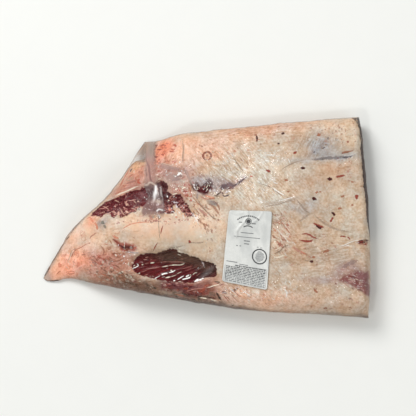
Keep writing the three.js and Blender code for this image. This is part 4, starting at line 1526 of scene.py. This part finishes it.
def film_haze(x, y):
    """How milky the film is, and its tone there: at the empty corners, along the rims and at the dark end. The dark
    film along the near rim and over the square end is painted shade.
    """
    haze = np.full(len(x), CLEAR_HAZE)
    tone = np.broadcast_to(linear("film_plain"), (len(x), 3))

    def lay(colour, strength):
        nonlocal haze, tone
        tone = laid(colour, tone, np.clip(strength * 1.5, 0, 1))
        haze = np.maximum(haze, strength)

    rim = {name: -distance_to_path(x, y, curve) for name, curve in CURVES.items()}
    wave = noise(x, y, 9, RIM_WAVE_SEED)
    streaky = noise(0.9 * x + 0.5 * y, 0.15 * (y - x), 1.6, 52)
    empty = ramp(x, -82, -90) * np.exp(-((np.hypot(x - EAR_CORNER[0], y - EAR_CORNER[1]) / 25) ** 4))
    lay("film_empty", (0.93 + 0.06 * streaky) * empty)
    lay("film_tip", 0.86 * np.exp(-((np.hypot(x - POINTED_CORNER[0], y - POINTED_CORNER[1]) / 12) ** 4)))
    lay("film_seam", 0.5 * ramp(rim["pointed"], -4.6 - wave, -2.6))
    # The dark line at the very rim of the pointed side: partly the bag's seam, partly painted shade.
    lay("film_seam_shade", 0.6 * ramp(rim["pointed"], -1.7, -0.4))
    lay("film_far", 0.5 * ramp(rim["far"], -2, -0.4))
    # Painted shade: dark film along the near rim.
    lay("film_near_shade", 0.3 * value_along(NEAR_RIM_SHADE, x) * ramp(rim["near"], -3.6 - 2 * wave, -1))
    for colour, at, radii, turn, strength in HAZY:
        lay(colour, strength * oval(x, y, at, radii, turn))
    strip = value_along(END_SHADE_STRIP, y)
    # Painted shade: a dark film tone over the square end's side.
    lay("film_end_shade", 0.12 * ramp(rim["square"], -strip - 0.4, -strip + 0.3) * (strip > 0))
    return haze, tone


def film_pieces(material, points, faces, under):
    x, y = points[:, 0], points[:, 1]
    lift = np.where(under, 0, fine_relief(x, y) + np.maximum(film_creases(x, y), -0.5))
    moved = lifted(points, faces, lift)
    piece = made("film", moved, faces, material)
    haze, tone = film_haze(x, y)
    over_lean = ramp(lean_depth(x, y), -1, 2)
    # No crinkle on the film over the painted shade of the square end.
    over_shaded_end = ramp(end_face(x, y, under), -0.5, 0.5)
    add_values(piece, "crinkle", np.where(under, 0.4, crinkle(x, y) * (1 - 0.85 * over_lean)) * (1 - over_shaded_end))
    add_values(piece, "haze", np.where(under, 0.01, haze))
    add_colours(piece, "haze_tone", tone)

    # The film's marks: painted highlights and painted shade along its creases and rims, with other marks of the film.
    marks = Marks(moved, faces, MARK_SEED["film"], MARK_LIFT["film"])
    marks.scatter(LOOSE_GLINTS, lambda x, y: under_label(x, y) < 0.2)
    marks.draw(FILM_MARKS)
    glints = marks.piece("film_creases", mark_material("film_creases", 0.3))
    return piece, glints


FOLD_LEFT = path_of("""
-92.5,109 -92,103 -91,97 -90,88 -88,80 -86,71 -85,61 -84,50 -84,42 -82,34 -79,28 -78,21 -80,15 -84,10 -86,3
-84,-6
""".split())
FOLD_RIGHT = path_of("""
-70,108.5 -71,104 -72,97 -71,90 -69,79 -66,65 -63,53 -60,43 -59,39 -58,33 -56,25 -55,15 -54,8 -53,1 -54,-8
""".split())
FOLD_CELLS = (240, 60)
FOLDED_FILM = 0.15  # thickness of the fold
# What the fold shows, painted in this order: colour, half width, how milky, then the path's x,y pairs. The bright
# white strokes are painted highlights.
FOLD_PAINT = """
film_grey 12.7 .9 -81,111 -83,96 -83,83
film_warm 7 .5 -76,104 -80,96
film_dark 3.7 .93 -86,98 -86,90 -85,81
fat_through 8.4 .3 -95,97 -102,81
film_pink 9.8 .55 -81,72 -77,59 -75,47
film_pink 7 .32 -68,65 -62,50
film_rose 2.8 .6 -85,73 -83,59 -82,47
film_line 1 .75 -87,80 -80,71 -76,59 -74,50 -72,42
film_line .8 .6 -82,62 -80,53
film_smoke 6.3 .8 -81,36 -74,33 -69,32
film_through 2.8 .75 -63,42 -63,33
film_bone 1.1 .9 -85,39 -79,40 -75,43 -70,41 -67,38 -65,33
film_shade 4.2 .75 -79,29 -76,25 -75,21
film_shade 2.8 .6 -72,32 -71,25
film_white 1.4 .95 -67,38 -67,31 -67,23 -68,19
film_white 2 .95 -67,28 -67,22
film_silver 1.1 .8 -64,29 -62,22
film_silver 1 .7 -60,35 -59,26
film_smoke 4.2 .6 -61,21 -59,13
film_smoke 4.2 .6 -76,18 -73,12
film_bone 2.5 .8 -70,16 -61,16
film_lilac 4.2 .75 -70,12 -63,9 -56,11
film_line .8 .7 -70,8 -63,11 -58,13
film_haze 6.3 .45 -78,10 -84,5 -85,-1
film_haze 7 .4 -74,8 -71,-1
film_haze 5.6 .3 -63,3 -60,-5
film_white 1.1 .85 -64,3 -62,6 -57,5
film_white 1 .7 -79,-4 -78,-5
film_white 1.1 .8 -58,-7 -57,-6
film_silver .8 .6 -83,24 -81,19 -81,14
"""


def sheet_faces(rows, columns, offset=0):
    at = np.arange(rows * columns).reshape(rows, columns) + offset
    return np.stack([at[:-1, :-1], at[1:, :-1], at[1:, 1:], at[:-1, 1:]], -1).reshape(-1, 4).tolist()


def fold_piece(material):
    """The bag's corner, folded over and lying across the fat and the marbled cut."""
    shares = np.linspace(0, 1, FOLD_CELLS[0] + 1)
    left, right = (along_path(spline(side), shares)[:, None] for side in (FOLD_LEFT, FOLD_RIGHT))
    across = np.linspace(0, 1, FOLD_CELLS[1] + 1)[None, :]
    xy = mix(left, right, across[..., None])
    x, y = xy[..., 0], xy[..., 1]
    down = shares[:, None] + 0 * x
    pleats = 0.5 * np.sin(2 * math.pi * (across * 3.2 + 0.25 * np.sin(5 * down)))
    rise = 1.3 + pleats * ramp(down, 0.05, 0.4) + 0.6 * np.sin(math.pi * across)
    points = np.stack([x, y, film_height(x, y) + rise], -1).reshape(-1, 3)
    piece = made("film_fold", points, sheet_faces(*x.shape), material)

    lower = ramp(y, 44, 38)
    tone = mix(linear("film_pink"), linear("film_smoke"), lower[..., None])
    haze = (0.1 + 0.3 * lower) * (1 - across * (1 - lower))
    u, v = x + 0.9 * noise(x, y, 5, 31), y + 1.2 * noise(x, y, 6, 32)
    for colour, half, milky, path in mark_rows(FOLD_PAINT):
        share = ridge(u, v, spline(path, 6), half)
        tone = mix(tone, linear(colour), share[..., None] ** 0.7)
        haze = mix(haze, milky, share)
    haze = haze * ramp(y, -6, 2) * ramp(np.abs(across * 2 - 1), 1.0, 0.86 - 0.5 * (1 - lower))
    add_values(piece, "crinkle", (0.4 + 0.3 * lower).ravel())
    add_values(piece, "haze", haze.ravel())
    add_colours(piece, "haze_tone", tone.reshape(-1, 3))
    thicken(piece, FOLDED_FILM)
    return piece


LABEL_WIDE, LABEL_LONG = 62, 105
LABEL_ROUNDING = 3.5
LABEL_GAP, PAPER = 0.45, 0.22
# Creases of the paper: half width, rise, path on the label.
PAPER_CREASES = crease_rows("""
1.5 1.5 26,0 28,8 22,18 15,28 14,38
1.8 1.1 0,14 6,20 13,30
1.6 1.2 48,2 44,10 36,16 26,20
1.6 .9 3,2 10,5 20,3
3 .6 50,34 54,52 52,70
3 .5 4,58 24,64 36,60
2.6 .6 30,78 26,92 30,104
""")


def on_label(u, v, lift):
    """Points of the label's face. u runs from its left edge and v down from its top edge, in millimetres."""
    u, v = np.asarray(u, float), np.asarray(v, float)
    a, b, c, d = (np.array(corner, float) for corner in LABEL_CORNERS)
    s, t = (u / LABEL_WIDE)[..., None], 1 - (v / LABEL_LONG)[..., None]
    xy = mix(mix(a, b, s), mix(d, c, s), t)
    x, y = xy[..., 0], xy[..., 1]
    rise = 0.5 * ramp(u, LABEL_WIDE - 6, LABEL_WIDE) + 0.4 * noise(u, v, 17, 41)
    for path, half, height in PAPER_CREASES:
        rise += height * ridge(u, v, spline(path, 6), half)
    return np.stack([x, y, top_height(x, y) + LABEL_GAP + 0.4 + rise + lift], -1)


def label_piece():
    rows, columns = 106, 64
    u, v = np.meshgrid(np.linspace(0, LABEL_WIDE, columns), np.linspace(LABEL_LONG, 0, rows))
    du = np.maximum(0, LABEL_ROUNDING - np.minimum(u, LABEL_WIDE - u))
    dv = np.maximum(0, LABEL_ROUNDING - np.minimum(v, LABEL_LONG - v))
    inset = 1 - np.maximum(du, dv) / np.maximum(np.hypot(du, dv), 1e-9)
    u = u + np.where(u < LABEL_WIDE / 2, 1, -1) * du * inset
    v = v + np.where(v < LABEL_LONG / 2, 1, -1) * dv * inset
    points = on_label(u, v, 0).reshape(-1, 3)
    piece = made("label_paper", points, [face[::-1] for face in sheet_faces(rows, columns)], paper_material())
    thicken(piece, PAPER)
    return piece


PRINT_LIFT = 0.07
RING = (48.5, 62, 9.8)  # a plain ring: its centre on the label and its radius


def label_bars():
    """Plain bars that stand where a label has its print: centre, length, width and shade from dark 0 to pale 1."""
    rng = np.random.default_rng(7)
    bars = [(28.5, 31.5, 18, 1, 0.3), (29, 37.5, 37, 0.9, 0.35), (29, 42.6, 8.5, 1.2, 0.2), (29, 46.6, 7, 1.2, 0.25),
            (16, 50.5, 2.2, 1.2, 0.3), (20.5, 50.5, 2.2, 1.2, 0.3), (45, 49.5, 2.4, 1, 0.5), (50, 50, 3, 1, 0.5),
            (11, 74.5, 15, 1.2, 0.35), (18, 17, 5, 1.2, 0.25), (37, 18, 6, 1.2, 0.25), (27.5, 76.5, 12, 1.1, 0.4)]
    for row in range(11):
        v = 79.4 + 2.25 * row
        u, end = (16 if row == 0 else 3.6), LABEL_WIDE - 3.6
        shade = 0.05 if row < 6 else 0.3
        while u < end - 1:
            long = min(rng.uniform(1.4, 6), end - u)
            bars.append((u + long / 2, v, long, 1.35, np.clip(shade + rng.uniform(-0.12, 0.25), 0, 1)))
            u += long + rng.uniform(0.5, 1)
    cu, cv, radius = RING
    for row in np.arange(-6.4, 6.5, 1.6):
        half = math.sqrt((radius - 2.2) ** 2 - row * row)
        bars.append((cu + rng.uniform(-1, 1), cv + row, 2 * half - 3, 1, rng.uniform(0.35, 0.6)))
    frame = [(LABEL_WIDE / 2 + 7, 78.4, LABEL_WIDE - 18, 0.5, 0.3), (LABEL_WIDE / 2, 103.4, LABEL_WIDE - 5, 0.4, 0.5),
             (4, 96, 0.9, 9, 0.1)]
    return bars + frame


def print_piece():
    points, faces, shades = [], [], []

    def add_strip(u, v, shade):
        """A strip between the rows of u and v."""
        faces.extend(face[::-1] for face in sheet_faces(*u.shape, sum(map(len, points))))
        points.append(on_label(u, v, PRINT_LIFT).reshape(-1, 3))
        shades.append(np.full(u.size, shade))

    def add_arc(cu, cv, radius, wide, start, end, shade):
        turn = np.radians(np.linspace(start, end, max(5, int(abs(end - start) / 6))))
        radii = np.array([radius + wide / 2, radius - wide / 2])[:, None]
        add_strip(cu - radii * np.cos(turn), cv - radii * np.sin(turn), shade)

    for cu, cv, long, wide, shade in label_bars():
        along = np.linspace(-long / 2, long / 2, max(2, int(long / 1.5) + 1))
        add_strip(*np.meshgrid(cu + along, np.linspace(cv + wide / 2, cv - wide / 2, max(2, int(wide / 1.5)))), shade)
    for side in (2.2, LABEL_WIDE - 2.2):
        along, across = np.meshgrid(np.linspace(79, 103, 18), [side - 0.22, side + 0.22])
        add_strip(across, along, 0.4)
    cu, cv, radius = RING
    add_arc(cu, cv, radius, 1.7, 0, 360, 0.0)
    for start in np.arange(48, 130, 6.4):  # an arch of short blocks over a plain disc, a ring and a bow
        add_arc(29.3, 31.5, 24, 2, start, start + 4.6, 0.15)
    add_arc(29.3, 15.2, 1.5, 2.9, 0, 360, 0.0)
    add_arc(29.3, 15.2, 4, 1, 0, 360, 0.1)
    add_arc(29.3, 33, 11.5, 1.3, 56, 124, 0.0)
    piece = made("label_marks", np.concatenate(points), faces, ink_material())
    add_values(piece, "shade", np.concatenate(shades))
    return piece


# ------------------------------------------------------------------ floor, camera and lamps

PHOTO_SIDE = 416  # pixels
MM_PER_PIXEL = 1.407
CAMERA_AIM = (Vector((2.1, 12.7, 20)) - Vector(MIDDLE)) * MM
CAMERA_AWAY = 2.3
CAMERA_LEAN = (4.5, 5.5)  # degrees from straight overhead: towards the square end, and towards the near side


def make_floor():
    side = 6000
    points = [(-side, -side, 0), (side, -side, 0), (side, side, 0), (-side, side, 0)]
    made("floor", points, [[0, 1, 2, 3]], floor_material())


def make_camera():
    lean_x, lean_y = (math.tan(math.radians(lean)) for lean in CAMERA_LEAN)
    back = Vector((lean_x, -lean_y, 1)).normalized()
    right = (Vector((1, 0, 0)) - back * back.x).normalized()
    turned = Matrix((right, back.cross(right), back)).transposed().to_4x4()
    camera = bpy.data.objects.new("camera", bpy.data.cameras.new("camera"))
    camera.matrix_world = Matrix.Translation(CAMERA_AIM + back * CAMERA_AWAY) @ turned
    camera.data.sensor_width = 36
    camera.data.lens = camera.data.sensor_width * CAMERA_AWAY / (PHOTO_SIDE * MM_PER_PIXEL * MM)
    bpy.context.scene.collection.objects.link(camera)
    bpy.context.scene.camera = camera


def lamp(name, towards, away, side, power, colour=(1, 1, 1)):
    """A square soft lamp at a heading from the pack's middle, turned to face it."""
    data = bpy.data.lights.new(name, "AREA")
    data.shape, data.size, data.energy, data.color = "SQUARE", side, power, colour
    lamp_object = bpy.data.objects.new(name, data)
    direction = Vector(towards).normalized()
    lamp_object.location = direction * away
    lamp_object.rotation_euler = direction.to_track_quat("Z", "Y").to_euler()
    bpy.context.scene.collection.objects.link(lamp_object)


def make_light():
    world = bpy.data.worlds.new("studio")
    world.use_nodes = True
    background = world.node_tree.nodes["Background"]
    background.inputs["Color"].default_value = (1, 1, 1, 1)
    background.inputs["Strength"].default_value = 0.42
    bpy.context.scene.world = world
    bpy.context.scene.view_settings.view_transform = "Standard"
    lamp("key", (-0.55, 0.75, 1), 3.4, 1.5, 76)
    lamp("fill", (0.9, -0.35, 1), 3, 1.6, 18)
    lamp("sparkle", (-0.25, -0.5, 1), 2.8, 0.3, 10)


film_look = film_material()
skin = pack_skin()
beef, beef_marks = beef_pieces(*skin)
film, glints = film_pieces(film_look, *skin)
for whole in (beef, film):
    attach(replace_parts(whole, "sealed_brisket"), "root")
for part in (beef_marks, glints, fold_piece(film_look), print_piece()):
    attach(part, "root")
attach(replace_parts(label_piece(), "label"), "root")
make_floor()
make_camera()
make_light()
